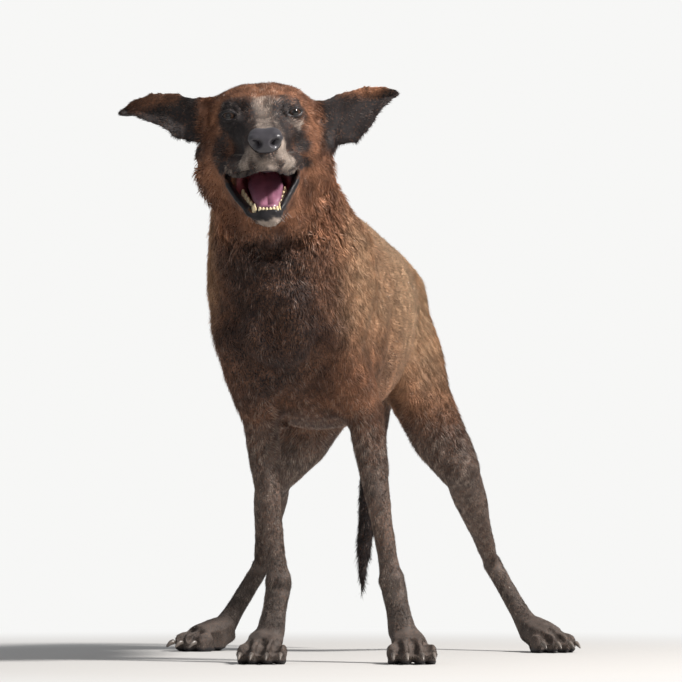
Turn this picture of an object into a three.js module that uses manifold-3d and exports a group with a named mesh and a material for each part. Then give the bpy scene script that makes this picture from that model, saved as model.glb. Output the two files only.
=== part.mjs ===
// A standing short-haired dog, life size, as a still model.
// Millimetres, +Z up. The dog looks along -Y, its left side is +X, and its paws stand on Z = 0.
import * as THREE from "three";
import { LoftGeometry } from "three/addons/geometries/LoftGeometry.js";
import { mergeVertices } from "three/addons/utils/BufferGeometryUtils.js";
import Module from "manifold-3d";

const wasm = await Module();
wasm.setup();

// ---------------------------------------------------------------- driving sizes
const GAP = 0.4; // the thin cut between two neighbouring pieces
const EYE_RADIUS = 10.5;
const EYE_SPACING = 71; // between the two pupils
const HEAD_AT = [2.3, -113, 623.3]; // midpoint between the eyes
const HEAD_TURN = { pitch: 1.4, roll: -3.4, yaw: 17.3 }; // degrees: nose down, left ear up, nose to the left
const JAW_OPEN = 22; // degrees
const JAW_HINGE = [0, 48, -42]; // in the head's own frame

// Each side's joints, and its ear as [out from the head, height, half width] in the head's frame.
// `armpit` and `groin` are how far out the cut between limb and trunk lies, at its foot and its top.
const LEFT = {
  hand: 1,
  name: "left",
  shoulder: [66, -6, 372],
  elbow: [77, 68, 276],
  carpus: [113, 50, 93],
  forePaw: [139, 26, 0],
  foreTurn: 22,
  hip: [32, 428, 404],
  knee: [109, 396, 222],
  hock: [113, 545, 106],
  hindPaw: [190, 491, 0],
  hindTurn: 44,
  armpit: [44, 68],
  groin: [8, 44],
  ear: [
    [46, -8, 30],
    [70, -12, 31],
    [97, -8, 33],
    [112, 2.5, 27],
    [126, 11, 20],
    [144, 16.5, 11.5],
    [160, 18, 2.5],
  ],
};
const RIGHT = {
  hand: -1,
  name: "right",
  shoulder: [-53, -28, 372],
  elbow: [-42, 40, 276],
  carpus: [-13, 18, 93],
  forePaw: [-22, -12, 0],
  foreTurn: 8,
  hip: [-34, 426, 402],
  knee: [-124, 388, 216],
  hock: [-178, 524, 103],
  hindPaw: [-219, 434, 0],
  hindTurn: -38,
  armpit: [-10, -62],
  groin: [-10, -46],
  ear: [
    [46, 0, 30],
    [70, 2, 29],
    [86, 3, 28],
    [101, 13, 23],
    [122, 17, 19],
    [143, 18, 10.5],
    [161, 12.5, 2.5],
  ],
};

// ---------------------------------------------------------------- solids
const UP = new THREE.Vector3(0, 0, 1);
const BACK = new THREE.Vector3(0, 1, 0);
const FORWARD = new THREE.Vector3(0, -1, 0);
const vec = (p) => new THREE.Vector3(...p);
const mix = (a, b, t) => vec(a).lerp(vec(b), t).toArray();
const outward = ([x, y, z], by) => [x + by, y, z];
const radians = THREE.MathUtils.degToRad;

function solidOf(geometry) {
  const bare = new THREE.BufferGeometry().copy(geometry);
  for (const name of ["normal", "uv"]) bare.deleteAttribute(name);
  const merged = mergeVertices(bare, 1e-3);
  return new wasm.Manifold(
    new wasm.Mesh({
      numProp: 3,
      vertProperties: merged.attributes.position.array,
      triVerts: new Uint32Array(merged.index.array),
    }),
  );
}

function geometryOf(solid) {
  const { numProp, vertProperties, triVerts } = solid.getMesh();
  const count = vertProperties.length / numProp;
  const points = new Float32Array(count * 3);
  for (let i = 0; i < count; i++) points.set(vertProperties.subarray(i * numProp, i * numProp + 3), i * 3);
  const geometry = new THREE.BufferGeometry();
  geometry.setAttribute("position", new THREE.BufferAttribute(points, 3));
  geometry.setIndex(new THREE.BufferAttribute(triVerts, 1));
  geometry.computeVertexNormals();
  return geometry;
}

const join = (solids) => solids.reduce((all, one) => all.add(one));

// A body through stations of [centre, half width, half height above, half height below].
// `above` is the direction that a section's upper half faces, `full` under 1 squares the section,
// `cup` bends it, `grown` adds to every size, and the ends are rounded over to `round` of their size.
function flesh(
  stations,
  { above = UP, sides = 14, round = 0.8, full = 1, cup = 0, capTurns = [28, 58], grown = 0, frame } = {},
) {
  const centres = new THREE.CatmullRomCurve3(stations.map((s) => vec(s[0])), false, "catmullrom", 0.5);
  const sizes = stations.map((s) => vec(s.slice(1)).addScalar(grown));
  const section = (i, grow, along) => {
    const size = sizes[i].clone().multiplyScalar(grow);
    const ahead = centres.getTangent(i / (stations.length - 1));
    const centre = vec(stations[i][0]).addScaledVector(ahead, along);
    const upward = above.clone().addScaledVector(ahead, -above.dot(ahead)).normalize();
    const sideways = upward.clone().cross(ahead);
    return Array.from({ length: sides }, (_, k) => {
      const angle = (k / sides) * 2 * Math.PI;
      const across = Math.sign(Math.cos(angle)) * Math.abs(Math.cos(angle)) ** full;
      const lift = Math.sign(Math.sin(angle)) * Math.abs(Math.sin(angle)) ** full;
      const rise = lift * (lift > 0 ? size.y : size.z) - cup * grow * across * across;
      const point = centre.clone().addScaledVector(sideways, across * size.x).addScaledVector(upward, rise);
      return frame ? point.applyMatrix4(frame) : point;
    });
  };
  const cap = (i, way) => {
    const length = round * Math.min(sizes[i].x, (sizes[i].y + sizes[i].z) / 2);
    const turns = capTurns.map(radians);
    return turns.map((turn) => section(i, Math.cos(turn), way * length * Math.sin(turn)));
  };
  const last = stations.length - 1;
  const rings = [...cap(0, -1).reverse(), ...stations.map((_, i) => section(i, 1, 0)), ...cap(last, 1)];
  return solidOf(new LoftGeometry(rings, { capStart: true, capEnd: true }));
}

function ball(centre, [x, y, z], { wide = 12, high = 7, frame } = {}) {
  const geometry = new THREE.SphereGeometry(1, wide, high).scale(x, y, z).translate(...centre);
  if (frame) geometry.applyMatrix4(frame);
  return solidOf(geometry);
}

// A box from its lowest and highest corners, `grown` by a margin on every face.
function block(low, high, frame, grown = 0) {
  const size = vec(high).sub(vec(low)).addScalar(2 * grown);
  const centre = mix(low, high, 0.5);
  const geometry = new THREE.BoxGeometry(...size.toArray()).translate(...centre);
  if (frame) geometry.applyMatrix4(frame);
  return solidOf(geometry);
}

// ---------------------------------------------------------------- trunk, neck and tail
function trunk() {
  return flesh(
    [
      [[6, -44, 388], 58, 62, 54],
      [[6, -18, 398], 76, 94, 92],
      [[7, 30, 406], 87, 128, 131],
      [[8, 90, 407], 91, 141, 143],
      [[6, 170, 406], 94, 130, 138],
      [[4, 250, 412], 89, 109, 121],
      [[1, 325, 423], 74, 90, 97],
      [[-1, 395, 430], 64, 73, 82],
      [[-2, 452, 426], 60, 61, 68],
      [[-2, 490, 416], 45, 48, 50],
    ],
    { sides: 14, above: vec([-0.07, 0, 1]), capTurns: [32, 64] },
  );
}

function neck() {
  return flesh(
    [
      [[0, 86, 424], 92, 76, 146],
      [[-9, 42, 470], 101, 84, 146],
      [[-9, 0, 518], 83, 76, 102],
      [[-7, -30, 558], 69, 64, 70],
      [[-4, -50, 590], 66, 54, 50],
    ],
    { sides: 14, above: vec([0, 1, 0.2]) },
  );
}

function tail() {
  return flesh(
    [
      [[-2, 488, 446], 26, 24, 26],
      [[-8, 528, 422], 22, 21, 21],
      [[-22, 554, 365], 19, 19, 19],
      [[-39, 565, 285], 18, 18, 18],
      [[-49, 566, 200], 17, 17, 17],
      [[-55, 560, 124], 14, 14, 14],
      [[-56, 552, 70], 6, 6, 6],
    ],
    { sides: 7, above: BACK },
  );
}

// ---------------------------------------------------------------- legs
function foreleg({ hand, shoulder, elbow, carpus, forePaw }) {
  const pastern = mix(carpus, forePaw, 0.62);
  const upperArm = flesh(
    [
      [[hand * 42 + 2, 88, 490], 20, 30, 30],
      [[hand * 66, 30, 440], 35, 50, 60],
      [outward(shoulder, -6 * hand), 34, 38, 66],
      [outward(mix(shoulder, elbow, 0.45), -5 * hand), 32, 36, 58],
      [outward(mix(shoulder, elbow, 0.85), -3 * hand), 27, 28, 40],
    ],
    { above: FORWARD, sides: 11 },
  );
  const forearm = flesh(
    [
      [mix(elbow, carpus, -0.12), 22, 24, 33],
      [mix(elbow, carpus, 0.08), 23, 25, 32],
      [mix(elbow, carpus, 0.3), 20, 21, 24],
      [mix(elbow, carpus, 0.6), 15.5, 16, 17],
      [mix(elbow, carpus, 0.86), 14.5, 14, 15],
      [carpus, 17.5, 16, 18],
      [mix(carpus, pastern, 0.6), 16.5, 14, 16],
      [pastern, 19, 14, 15],
    ],
    { above: FORWARD, sides: 10 },
  );
  return join([upperArm, forearm]);
}

function hindleg({ hand, hip, knee, hock, hindPaw }) {
  const pastern = mix(hock, hindPaw, 0.78);
  const thigh = flesh(
    [
      [mix(hip, knee, -0.22), 34, 58, 60],
      [outward(mix(hip, knee, 0.14), -7 * hand), 39, 66, 72],
      [outward(mix(hip, knee, 0.5), -18 * hand), 39, 54, 66],
      [outward(mix(hip, knee, 0.8), -12 * hand), 35, 36, 50],
      [knee, 28, 27, 31],
    ],
    { above: FORWARD, sides: 11 },
  );
  const shank = flesh(
    [
      [mix(knee, hock, -0.06), 25, 26, 30],
      [mix(knee, hock, 0.3), 23, 21, 27],
      [mix(knee, hock, 0.66), 16, 14, 18],
      [mix(knee, hock, 0.9), 13.5, 12, 16],
    ],
    { above: FORWARD, sides: 10 },
  );
  const heel = flesh(
    [
      [mix(knee, hock, 0.82), 11, 12, 15],
      [hock, 14, 14, 17],
      [mix(hock, hindPaw, 0.22), 13.5, 12, 14],
      [mix(hock, hindPaw, 0.55), 14, 12, 13],
      [pastern, 18, 13, 14],
    ],
    { above: FORWARD, sides: 10 },
  );
  return join([thigh, shank, heel]);
}

// A paw of four toes over their pads. Its own frame has the toes along -Y.
const TOES = [
  { name: "outer", across: -20, reach: 28, high: 27 },
  { name: "middle_outer", across: -7.5, reach: 38, high: 31 },
  { name: "middle_inner", across: 7.5, reach: 38, high: 31 },
  { name: "inner", across: 20, reach: 28, high: 27 },
];
const pawFrame = (at, turn) => new THREE.Matrix4().makeRotationZ(radians(turn)).setPosition(...at);

function paw(frame) {
  const palm = flesh(
    [
      [[0, 30, 34], 17, 14, 26],
      [[0, 8, 28], 23, 14, 32],
      [[0, -20, 22], 22, 11, 22],
    ],
    { sides: 7, frame, capTurns: [] },
  );
  const toes = TOES.map(({ across, reach, high }) =>
    flesh(
      [
        [[across, -reach * 0.45, high - 10.5], 9.5, 10.5, 18],
        [[across * 1.1, -reach, 12], 9.6, 9.5, 17],
        [[across * 1.14, -reach - 7, 11.5], 6.2, 6, 9],
      ],
      { sides: 6, frame, capTurns: [] },
    ),
  );
  return join([palm, ...toes]);
}

// A claw starts a hair in front of its toe's flat end.
function claw({ across, reach }, frame) {
  return flesh(
    [
      [[across * 1.15, -reach - 8, 12], 3.6, 4.2, 4.2],
      [[across * 1.17, -reach - 14, 11], 3, 3.5, 3.5],
      [[across * 1.2, -reach - 20, 5.5], 1, 1.2, 1.2],
    ],
    { sides: 5, frame, capTurns: [] },
  );
}

// ---------------------------------------------------------------- head, in its own frame
const headFrame = new THREE.Matrix4()
  .makeRotationFromEuler(
    new THREE.Euler(radians(HEAD_TURN.pitch), radians(HEAD_TURN.roll), radians(HEAD_TURN.yaw), "ZYX"),
  )
  .setPosition(...HEAD_AT);
const jawFrame = headFrame
  .clone()
  .multiply(new THREE.Matrix4().makeTranslation(...JAW_HINGE))
  .multiply(new THREE.Matrix4().makeRotationX(radians(JAW_OPEN)))
  .multiply(new THREE.Matrix4().makeTranslation(...JAW_HINGE.map((x) => -x)));

function skull() {
  const frame = headFrame;
  const muzzleAndBraincase = flesh(
    [
      [[0, -94, -36], 20, 17, 22],
      [[0, -74, -35], 25, 21, 25],
      [[0, -48, -32], 29, 25, 29],
      [[0, -24, -27], 37, 29, 35],
      [[0, -4, -16], 50, 40, 44],
      [[1, 26, -6], 63, 46, 54],
      [[1, 60, -6], 65, 48, 54],
      [[0, 94, -14], 52, 38, 44],
    ],
    { sides: 14, full: 0.82, frame, capTurns: [45] },
  );
  const lips = [-1, 1].map((hand) =>
    flesh(
      [
        [[hand * 11, -86, -52], 8, 10, 11],
        [[hand * 21, -64, -56], 9, 14, 13],
        [[hand * 29, -40, -57], 9, 16, 13],
        [[hand * 38, -18, -55], 9, 16, 9],
      ],
      { sides: 6, frame, capTurns: [] },
    ),
  );
  const cheeks = [-1, 1].map((hand) =>
    ball([hand * 42 + 2, 34, -40], [31, 44, 44], { wide: 8, high: 5, frame }),
  );
  const ruff = ball([3, 52, -60], [87, 60, 68], { wide: 11, high: 6, frame });
  const throat = ball([5, 54, -104], [68, 52, 54], { wide: 10, high: 6, frame });
  return join([muzzleAndBraincase, ...lips, ...cheeks, ruff, throat]);
}

function jaw() {
  return flesh(
    [
      [[0, -86, -74], 13, 9, 8],
      [[0, -70, -76], 20, 13, 12],
      [[0, -44, -78], 26, 16, 14],
      [[0, -14, -79], 36, 18, 17],
      [[0, 14, -78], 44, 20, 19],
      [[0, 44, -74], 46, 22, 25],
    ],
    { sides: 9, frame: jawFrame, capTurns: [45] },
  );
}

// The lower teeth that the open mouth shows: a canine on each side of the row of incisors.
function lowerTeeth() {
  const canines = [-1, 1].map((hand) =>
    flesh(
      [
        [[hand * 13, -76, -72], 4, 4, 4],
        [[hand * 14.5, -80, -54], 1.2, 1.2, 1.2],
      ],
      { above: FORWARD, sides: 5, frame: jawFrame, capTurns: [] },
    ),
  );
  return join([...canines, block([-10, -86, -74], [10, -80, -61], jawFrame)]);
}

// What the open mouth leaves free: a slit between the lips and a hollow over the tongue.
function mouthGap() {
  const outline = new THREE.Shape();
  outline.moveTo(-150, -60);
  outline.lineTo(-98, -61);
  outline.quadraticCurveTo(-52, -73, -20, -62);
  outline.quadraticCurveTo(-2, -68, -16, -80);
  outline.quadraticCurveTo(-44, -94, -66, -106);
  outline.lineTo(-150, -140);
  const slit = new THREE.ExtrudeGeometry(outline, { depth: 140, bevelEnabled: false, curveSegments: 3 });
  const sideways = new THREE.Matrix4().makeBasis(BACK, UP, vec([1, 0, 0]));
  slit.translate(0, 0, -70).applyMatrix4(sideways).applyMatrix4(headFrame);
  const hollow = flesh(
    [
      [[0, -84, -84], 13, 30, 26],
      [[0, -60, -84], 17, 33, 32],
      [[0, -30, -80], 24, 28, 28],
      [[0, 0, -74], 28, 22, 24],
      [[0, 26, -68], 20, 14, 16],
    ],
    { sides: 7, frame: headFrame, capTurns: [] },
  );
  return join([solidOf(slit), hollow]);
}

function eyeball({ hand }, grown = 0) {
  const radius = EYE_RADIUS + grown;
  const at = [(hand * EYE_SPACING) / 2, -14, 0];
  return ball(at, [radius, radius, radius], { wide: 8, high: 6, frame: headFrame });
}

function nose(grown = 0) {
  return flesh(
    [
      [[0, -94, -33], 17, 13, 12],
      [[0, -104, -32.5], 18.5, 13.5, 13],
      [[0, -110, -33], 15, 10, 12],
    ],
    { sides: 10, frame: headFrame, round: 0.5, capTurns: [50], grown },
  );
}

function ear({ hand, ear: outline }) {
  const stations = outline.map(([out, height, half], i) => {
    const thick = [13, 8, 4.5, 4, 3.5, 3, 2][i];
    return [[hand * out, 44 + 0.0006 * out * out, height], half, thick, thick];
  });
  return flesh(stations, { above: BACK, sides: 10, cup: 11, round: 0.6, frame: headFrame, capTurns: [] });
}

function tongue(grown = 0) {
  return flesh(
    [
      [[0, -68, -64], 12, 5, 8],
      [[0, -48, -61], 16, 7, 10],
      [[0, -20, -58], 19, 9, 12],
      [[0, 6, -56], 19, 9, 12],
    ],
    { sides: 8, frame: jawFrame, capTurns: [45], grown },
  );
}

// ---------------------------------------------------------------- the whole, parted by thin cuts
const COAT = { color: 0x5a3a2a, roughness: 0.85, metalness: 0 };
const DARK_COAT = { color: 0x2a2422, roughness: 0.85, metalness: 0 };
const WET = { color: 0x1c1b1d, roughness: 0.35, metalness: 0 };
const TONGUE = { color: 0xa2707c, roughness: 0.45, metalness: 0 };
const CLAW = { color: 0xa59a90, roughness: 0.5, metalness: 0 };
const dog = new THREE.Group();

function add(name, solid, finish) {
  const mesh = new THREE.Mesh(geometryOf(solid), new THREE.MeshStandardMaterial(finish));
  mesh.name = name;
  dog.add(mesh);
}

const pieces = [trunk(), neck(), tail(), skull(), jaw()];
for (const side of [LEFT, RIGHT]) {
  side.foreFrame = pawFrame(side.forePaw, side.foreTurn);
  side.hindFrame = pawFrame(side.hindPaw, side.hindTurn);
  pieces.push(foreleg(side), hindleg(side), ear(side), paw(side.foreFrame), paw(side.hindFrame));
}
let rest = join(pieces);
rest = rest.subtract(block([-900, -900, -200], [900, 1200, 0]));
rest = rest.subtract(mouthGap());
rest = rest.add(lowerTeeth());
rest = rest.subtract(nose(GAP)).subtract(tongue(GAP));
add("nose", nose(), WET);
add("tongue", tongue(), TONGUE);
for (const side of [LEFT, RIGHT]) {
  rest = rest.subtract(eyeball(side, GAP));
  add(`eye_${side.name}`, eyeball(side), WET);
  for (const [paw, frame] of [["fore", side.foreFrame], ["hind", side.hindFrame]]) {
    for (const toe of TOES) add(`claw_${paw}_${side.name}_${toe.name}`, claw(toe, frame), CLAW);
  }
}

// Takes what lies inside a region as a piece of its own; `region` gives its solid, grown by a margin.
function part(name, finish, region) {
  add(name, rest.intersect(region(0)), finish);
  rest = rest.subtract(region(GAP));
}

const box = (low, high, frame) => (grown) => block(low, high, frame, grown);

// A round-topped doorway in the frame's YZ plane, deep enough to take in a whole limb.
function archway([front, back], spring, top, hand, frame) {
  return (grown) => {
    const middle = (front + back) / 2;
    const radius = (back - front) / 2 + grown;
    const outline = new THREE.Shape();
    outline.moveTo(middle - radius, -grown);
    outline.lineTo(middle - radius, spring);
    outline.absellipse(middle, spring, radius, top - spring + grown, Math.PI, 0, true);
    outline.lineTo(middle + radius, -grown);
    const options = { depth: 200 + grown, bevelEnabled: false, curveSegments: 5 };
    const doorway = new THREE.ExtrudeGeometry(outline, options);
    const upright = new THREE.Matrix4().makeBasis(BACK, UP, vec([1, 0, 0]));
    const inwards = hand > 0 ? -grown : -200;
    return solidOf(doorway.translate(0, 0, inwards).applyMatrix4(upright).applyMatrix4(frame));
  };
}

// A frame whose YZ plane leans out from `inner[0]` at height `foot` to `inner[1]` at height `top`.
function leaning(inner, foot, top) {
  const lean = Math.atan2(inner[1] - inner[0], top - foot);
  return new THREE.Matrix4().makeRotationY(lean).setPosition(inner[0], 0, foot);
}

// A frame on the midline whose -Y side faces forward and up by `tilt` degrees.
const facingUp = (y, z, tilt) => new THREE.Matrix4().makeRotationX(-radians(tilt)).setPosition(0, y, z);

part("tail", DARK_COAT, box([-90, 512, 40], [40, 700, 480]));
for (const { hand, name, foreFrame, hindFrame, armpit, groin, ear: outline } of [LEFT, RIGHT]) {
  const outside = (near, far) => (hand > 0 ? [near, far] : [-far, -near]);
  const lobe = Math.min(...outline.map(([, height, half]) => height - half)) - 1;
  const [earRoot, earTip] = outside(88, 200);
  part(`ear_${name}`, DARK_COAT, box([earRoot, 0, lobe], [earTip, 110, 70], headFrame));
  part(`fore_paw_${name}`, DARK_COAT, box([-60, -80, -5], [60, 70, 52], foreFrame));
  part(`hind_paw_${name}`, DARK_COAT, box([-60, -80, -5], [60, 90, 52], hindFrame));
  const [inner, outer] = outside(0, 260);
  const midline = new THREE.Matrix4().setPosition(32, 0, 0);
  part(`forearm_${name}`, DARK_COAT, box([inner, -60, 52 + GAP], [outer, 180, 262], midline));
  part(`pastern_${name}`, DARK_COAT, box([inner, 300, 52 + GAP], [outer, 620, 116], midline));
  part(`shank_${name}`, DARK_COAT, box([inner, 300, 116 + GAP], [outer, 620, 202], midline));
  part(`upper_arm_${name}`, COAT, archway([-120, 124], 110, 214, hand, leaning(armpit, 262, 462)));
  part(`thigh_${name}`, COAT, archway([322, 544], 150, 262, hand, leaning(groin, 202, 472)));
}
part("lower_jaw", COAT, box([-60, -130, -130], [60, -30, -40], jawFrame));
part("head", COAT, box([-220, -420, -220], [220, 0, 220], facingUp(-38, 538, 34)));
part("neck", COAT, box([-220, -420, -220], [220, 0, 220], facingUp(-5, 492, 52)));
add("trunk", rest, COAT);

// The origin lies on the floor, under the middle of the whole dog.
const bounds = new THREE.Box3().setFromObject(dog);
const middle = bounds.getCenter(new THREE.Vector3());
dog.position.set(-middle.x, -middle.y, -bounds.min.z);
export default dog;
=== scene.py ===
# %% [markdown]
# # A standing short-haired dog
# The solids of the frame give the dog's outline out to the tips of its coat. Here they become one
# smooth skin without seams, with eyes, nose, mouth and claws of their own, and a coat of small
# solid tufts that follow the lie of the hair. Everything stays in the frame's metres.

import math

import bmesh
import bpy
import numpy as np
from mathutils import Matrix, Vector
from mathutils.bvhtree import BVHTree
from mathutils.kdtree import KDTree

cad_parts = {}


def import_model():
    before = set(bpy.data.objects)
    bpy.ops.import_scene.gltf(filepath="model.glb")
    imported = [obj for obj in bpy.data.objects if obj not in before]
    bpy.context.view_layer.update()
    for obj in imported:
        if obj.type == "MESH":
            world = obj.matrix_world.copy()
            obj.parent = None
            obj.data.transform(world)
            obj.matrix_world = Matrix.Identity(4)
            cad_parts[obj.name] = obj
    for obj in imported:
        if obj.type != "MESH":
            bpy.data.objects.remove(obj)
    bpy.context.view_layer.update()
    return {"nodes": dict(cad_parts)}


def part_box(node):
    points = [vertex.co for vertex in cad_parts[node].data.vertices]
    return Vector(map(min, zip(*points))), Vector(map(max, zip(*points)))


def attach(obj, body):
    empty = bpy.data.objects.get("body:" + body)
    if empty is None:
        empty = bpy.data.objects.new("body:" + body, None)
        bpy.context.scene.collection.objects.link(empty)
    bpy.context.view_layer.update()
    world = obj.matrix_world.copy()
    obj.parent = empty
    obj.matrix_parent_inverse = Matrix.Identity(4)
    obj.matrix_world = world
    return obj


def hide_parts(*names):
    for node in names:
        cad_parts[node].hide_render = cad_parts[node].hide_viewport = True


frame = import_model()
MM = 0.001
SIDES = {"left": 1, "right": -1}

# %% [markdown]
# ## Camera
# The dog is seen from low down in front, a little to its left. A short lens close by would swell
# the head and shrink the legs. A long lens from 6.5 m away keeps the legs long and the head in
# scale, so the camera stands far off and a little above the floor, and tilts up slightly.

# %% Camera
FEET = Vector((0.0745, -0.1633, 0.0))
LENS_AT = {"azimuth": 15.0, "distance": 6.5, "height": 0.2103}
LENS_TILT = 1.41
LENS_MM = 298.5
FAR_END = 100
scene = bpy.context.scene


def add_camera():
    data = bpy.data.cameras.new("camera")
    data.lens = LENS_MM
    data.clip_end = FAR_END
    camera = bpy.data.objects.new("camera", data)
    turn = math.radians(LENS_AT["azimuth"])
    away = Vector((math.sin(turn), -math.cos(turn), 0)) * LENS_AT["distance"]
    camera.location = FEET + away + Vector((0, 0, LENS_AT["height"]))
    camera.rotation_euler = (math.radians(90 + LENS_TILT), 0, turn)
    scene.collection.objects.link(camera)
    scene.camera = camera


add_camera()
scene.view_settings.view_transform = "Standard"
print("camera at", [round(v, 3) for v in scene.camera.location], "with a lens of", LENS_MM, "mm")

# %% [markdown]
# ## Shader nodes in few words
# A material is a graph of small nodes. Written out in full, each node and link takes a line or
# two. The class below adds a node, or joins a number, a colour or another node's output to a
# socket, in one short call each, so that a material reads like a recipe.

# %% Node helpers


class Nodes:
    """Short ways to add and link shader nodes."""

    def __init__(self, tree):
        self.tree = tree

    def add(self, kind, **settings):
        node = self.tree.nodes.new("ShaderNode" + kind)
        for name, value in settings.items():
            setattr(node, name, value)
        return node

    def join(self, source, target):
        """Feeds a socket from an output, or sets it to a number or a colour."""
        if hasattr(source, "is_output"):
            self.tree.links.new(source, target)
        elif hasattr(source, "__len__") and len(source) == 3:
            target.default_value = (*source, 1)
        else:
            target.default_value = source

    def math(self, operation, *values):
        node = self.add("Math", operation=operation)
        for value, socket in zip(values, node.inputs):
            self.join(value, socket)
        return node.outputs[0]

    def mix(self, share, first, second, blend="MIX"):
        """A mix of two colours."""
        node = self.add("Mix", data_type="RGBA", blend_type=blend)
        self.join(share, node.inputs["Factor"])
        self.join(first, node.inputs[6])
        self.join(second, node.inputs[7])
        return node.outputs[2]

    def mix_shaders(self, share, first, second):
        node = self.add("MixShader")
        for source, socket in zip((share, first, second), node.inputs):
            self.join(source, socket)
        return node.outputs[0]

    def noise(self, scale, detail=2.0):
        """Noise in the object's own space, from 0 to 1."""
        node = self.add("TexNoise")
        self.join(self.add("TexCoord").outputs["Object"], node.inputs["Vector"])
        self.join(scale, node.inputs["Scale"])
        self.join(detail, node.inputs["Detail"])
        return node.outputs["Fac"]

    def spread(self, value, low, high, to_low=0.0, to_high=1.0, kind="LINEAR"):
        """Stretches a value from one range to another."""
        node = self.add("MapRange", interpolation_type=kind)
        numbers = {"From Min": low, "From Max": high, "To Min": to_low, "To Max": to_high}
        for name, number in numbers.items():
            self.join(number, node.inputs[name])
        self.join(value, node.inputs["Value"])
        return node.outputs["Result"]

    def channels(self, attribute):
        """The four values that a mesh keeps in one colour attribute."""
        node = self.add("Attribute", attribute_name=attribute)
        parts = self.add("SeparateColor")
        self.join(node.outputs["Color"], parts.inputs[0])
        return [*parts.outputs, node.outputs["Alpha"]]


def material(name, roughness, **constants):
    """A Principled material: returns it with its nodes and its shader."""
    made = bpy.data.materials.new(name)
    made.use_nodes = True
    shader = made.node_tree.nodes["Principled BSDF"]
    shader.inputs["Roughness"].default_value = roughness
    for label, value in constants.items():
        shader.inputs[label.replace("_", " ")].default_value = value
    return made, Nodes(made.node_tree), shader


# %% [markdown]
# ## Light and floor
# One key lamp stands high on the dog's left, a weak wide lamp in front of it opens the shadows,
# and a dim room adds light from all round. A bare sun would make the shadows too hard, and the
# room alone would leave the coat flat. The pale walls and the pale far floor are shown to the
# camera only, so they add no light. The floor's own colour is darker than theirs, because the
# lamps light it up, and it keeps the dog's shadow.

# %% Lamps and the pale room
LAMP_AIM = Vector((0, 0, 0.4))
LAMPS = {
    "key": {"place": (3.1, -0.8, 3.3), "size": 0.7, "power": 325, "warmth": 0.93},
    "fill": {"place": (-0.6, -3.8, 1.8), "size": 2.4, "power": 8, "warmth": 1.0},
}
ROOM_LIGHT = {"colour": (0.95, 0.97, 1), "strength": 0.36}
PALE = (0.93, 0.93, 0.92)


def add_lamp(name, place, size, power, warmth):
    data = bpy.data.lights.new(name, "AREA")
    data.shape = "DISK"
    data.size = size
    data.energy = power
    data.color = (1, (1 + warmth) / 2, warmth)
    lamp = bpy.data.objects.new(name, data)
    lamp.location = place
    lamp.rotation_euler = (LAMP_AIM - Vector(place)).to_track_quat("-Z", "Y").to_euler()
    scene.collection.objects.link(lamp)


def add_room():
    """Walls that light the dog a little and look pale to the camera."""
    room = bpy.data.worlds.new("room")
    scene.world = room
    room.use_nodes = True
    room.node_tree.nodes.clear()
    nodes = Nodes(room.node_tree)
    light = nodes.add("Background")
    nodes.join(ROOM_LIGHT["colour"], light.inputs["Color"])
    nodes.join(ROOM_LIGHT["strength"], light.inputs["Strength"])
    wall = nodes.add("Background")
    nodes.join(PALE, wall.inputs["Color"])
    seen = nodes.add("LightPath").outputs["Is Camera Ray"]
    surface = nodes.mix_shaders(seen, light.outputs[0], wall.outputs[0])
    nodes.join(surface, nodes.add("OutputWorld").inputs["Surface"])


for name, settings in LAMPS.items():
    add_lamp(name, **settings)
    print(name, "lamp:", settings["power"], "W,", settings["size"], "m across")
add_room()

# %% From a bmesh to a mesh and an object


def as_mesh(bm, name="mesh"):
    mesh = bpy.data.meshes.new(name)
    bm.to_mesh(mesh)
    bm.free()
    return mesh


def new_object(name, mesh):
    piece = bpy.data.objects.new(name, mesh)
    scene.collection.objects.link(piece)
    return piece


# %% The floor
FLOOR_REACH = 12
FLOOR_FADE = (0.5, 1.3)
FLOOR_COLOUR = (0.585, 0.575, 0.56)


def floor_material():
    """Pale ground that keeps shadows nearby and, to the camera, melts into the pale room."""
    made, nodes, shader = material("pale floor", 0.9)
    nodes.join(FLOOR_COLOUR, shader.inputs["Base Color"])
    glow = nodes.add("Emission")
    nodes.join(PALE, glow.inputs["Color"])
    reach = nodes.add("VectorMath", operation="LENGTH")
    nodes.join(nodes.add("TexCoord").outputs["Object"], reach.inputs[0])
    far = nodes.spread(reach.outputs["Value"], *FLOOR_FADE, kind="SMOOTHSTEP")
    seen = nodes.math("MULTIPLY", far, nodes.add("LightPath").outputs["Is Camera Ray"])
    surface = nodes.mix_shaders(seen, shader.outputs[0], glow.outputs[0])
    nodes.join(surface, made.node_tree.nodes["Material Output"].inputs["Surface"])
    return made


def add_floor():
    bm = bmesh.new()
    bmesh.ops.create_grid(bm, x_segments=1, y_segments=1, size=FLOOR_REACH)
    floor = new_object("floor", as_mesh(bm, "floor"))
    floor.data.materials.append(floor_material())


add_floor()
print("floor:", 2 * FLOOR_REACH, "m across, shown as ground within", FLOOR_FADE[1], "m")

# %% [markdown]
# ## One skin
# A dog's skin has no seams. The frame's solids could be smoothed one by one, but their joins would
# show, so copies of all the flesh are joined and remeshed into one closed surface: voxels wider
# than the thin cuts close them. Numpy then moves the points of the skin, because a loop over each
# of 250,000 points in Python would be slow, and the helpers here pass them to and fro.

# %% Points of a mesh as rows of numbers


def read(mesh, kind, width, dtype=np.float64):
    """Vertex places, vertex normals or the ends of edges, as rows of numbers."""
    source, field = {
        "place": (mesh.vertices, "co"),
        "normal": (mesh.vertices, "normal"),
        "edge": (mesh.edges, "vertices"),
    }[kind]
    values = np.empty(len(source) * width, np.float32 if dtype is np.float64 else np.int32)
    source.foreach_get(field, values)
    return values.reshape(-1, width).astype(dtype)


def write_places(mesh, places):
    mesh.vertices.foreach_set("co", places.astype(np.float32).ravel())
    mesh.update()


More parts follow.
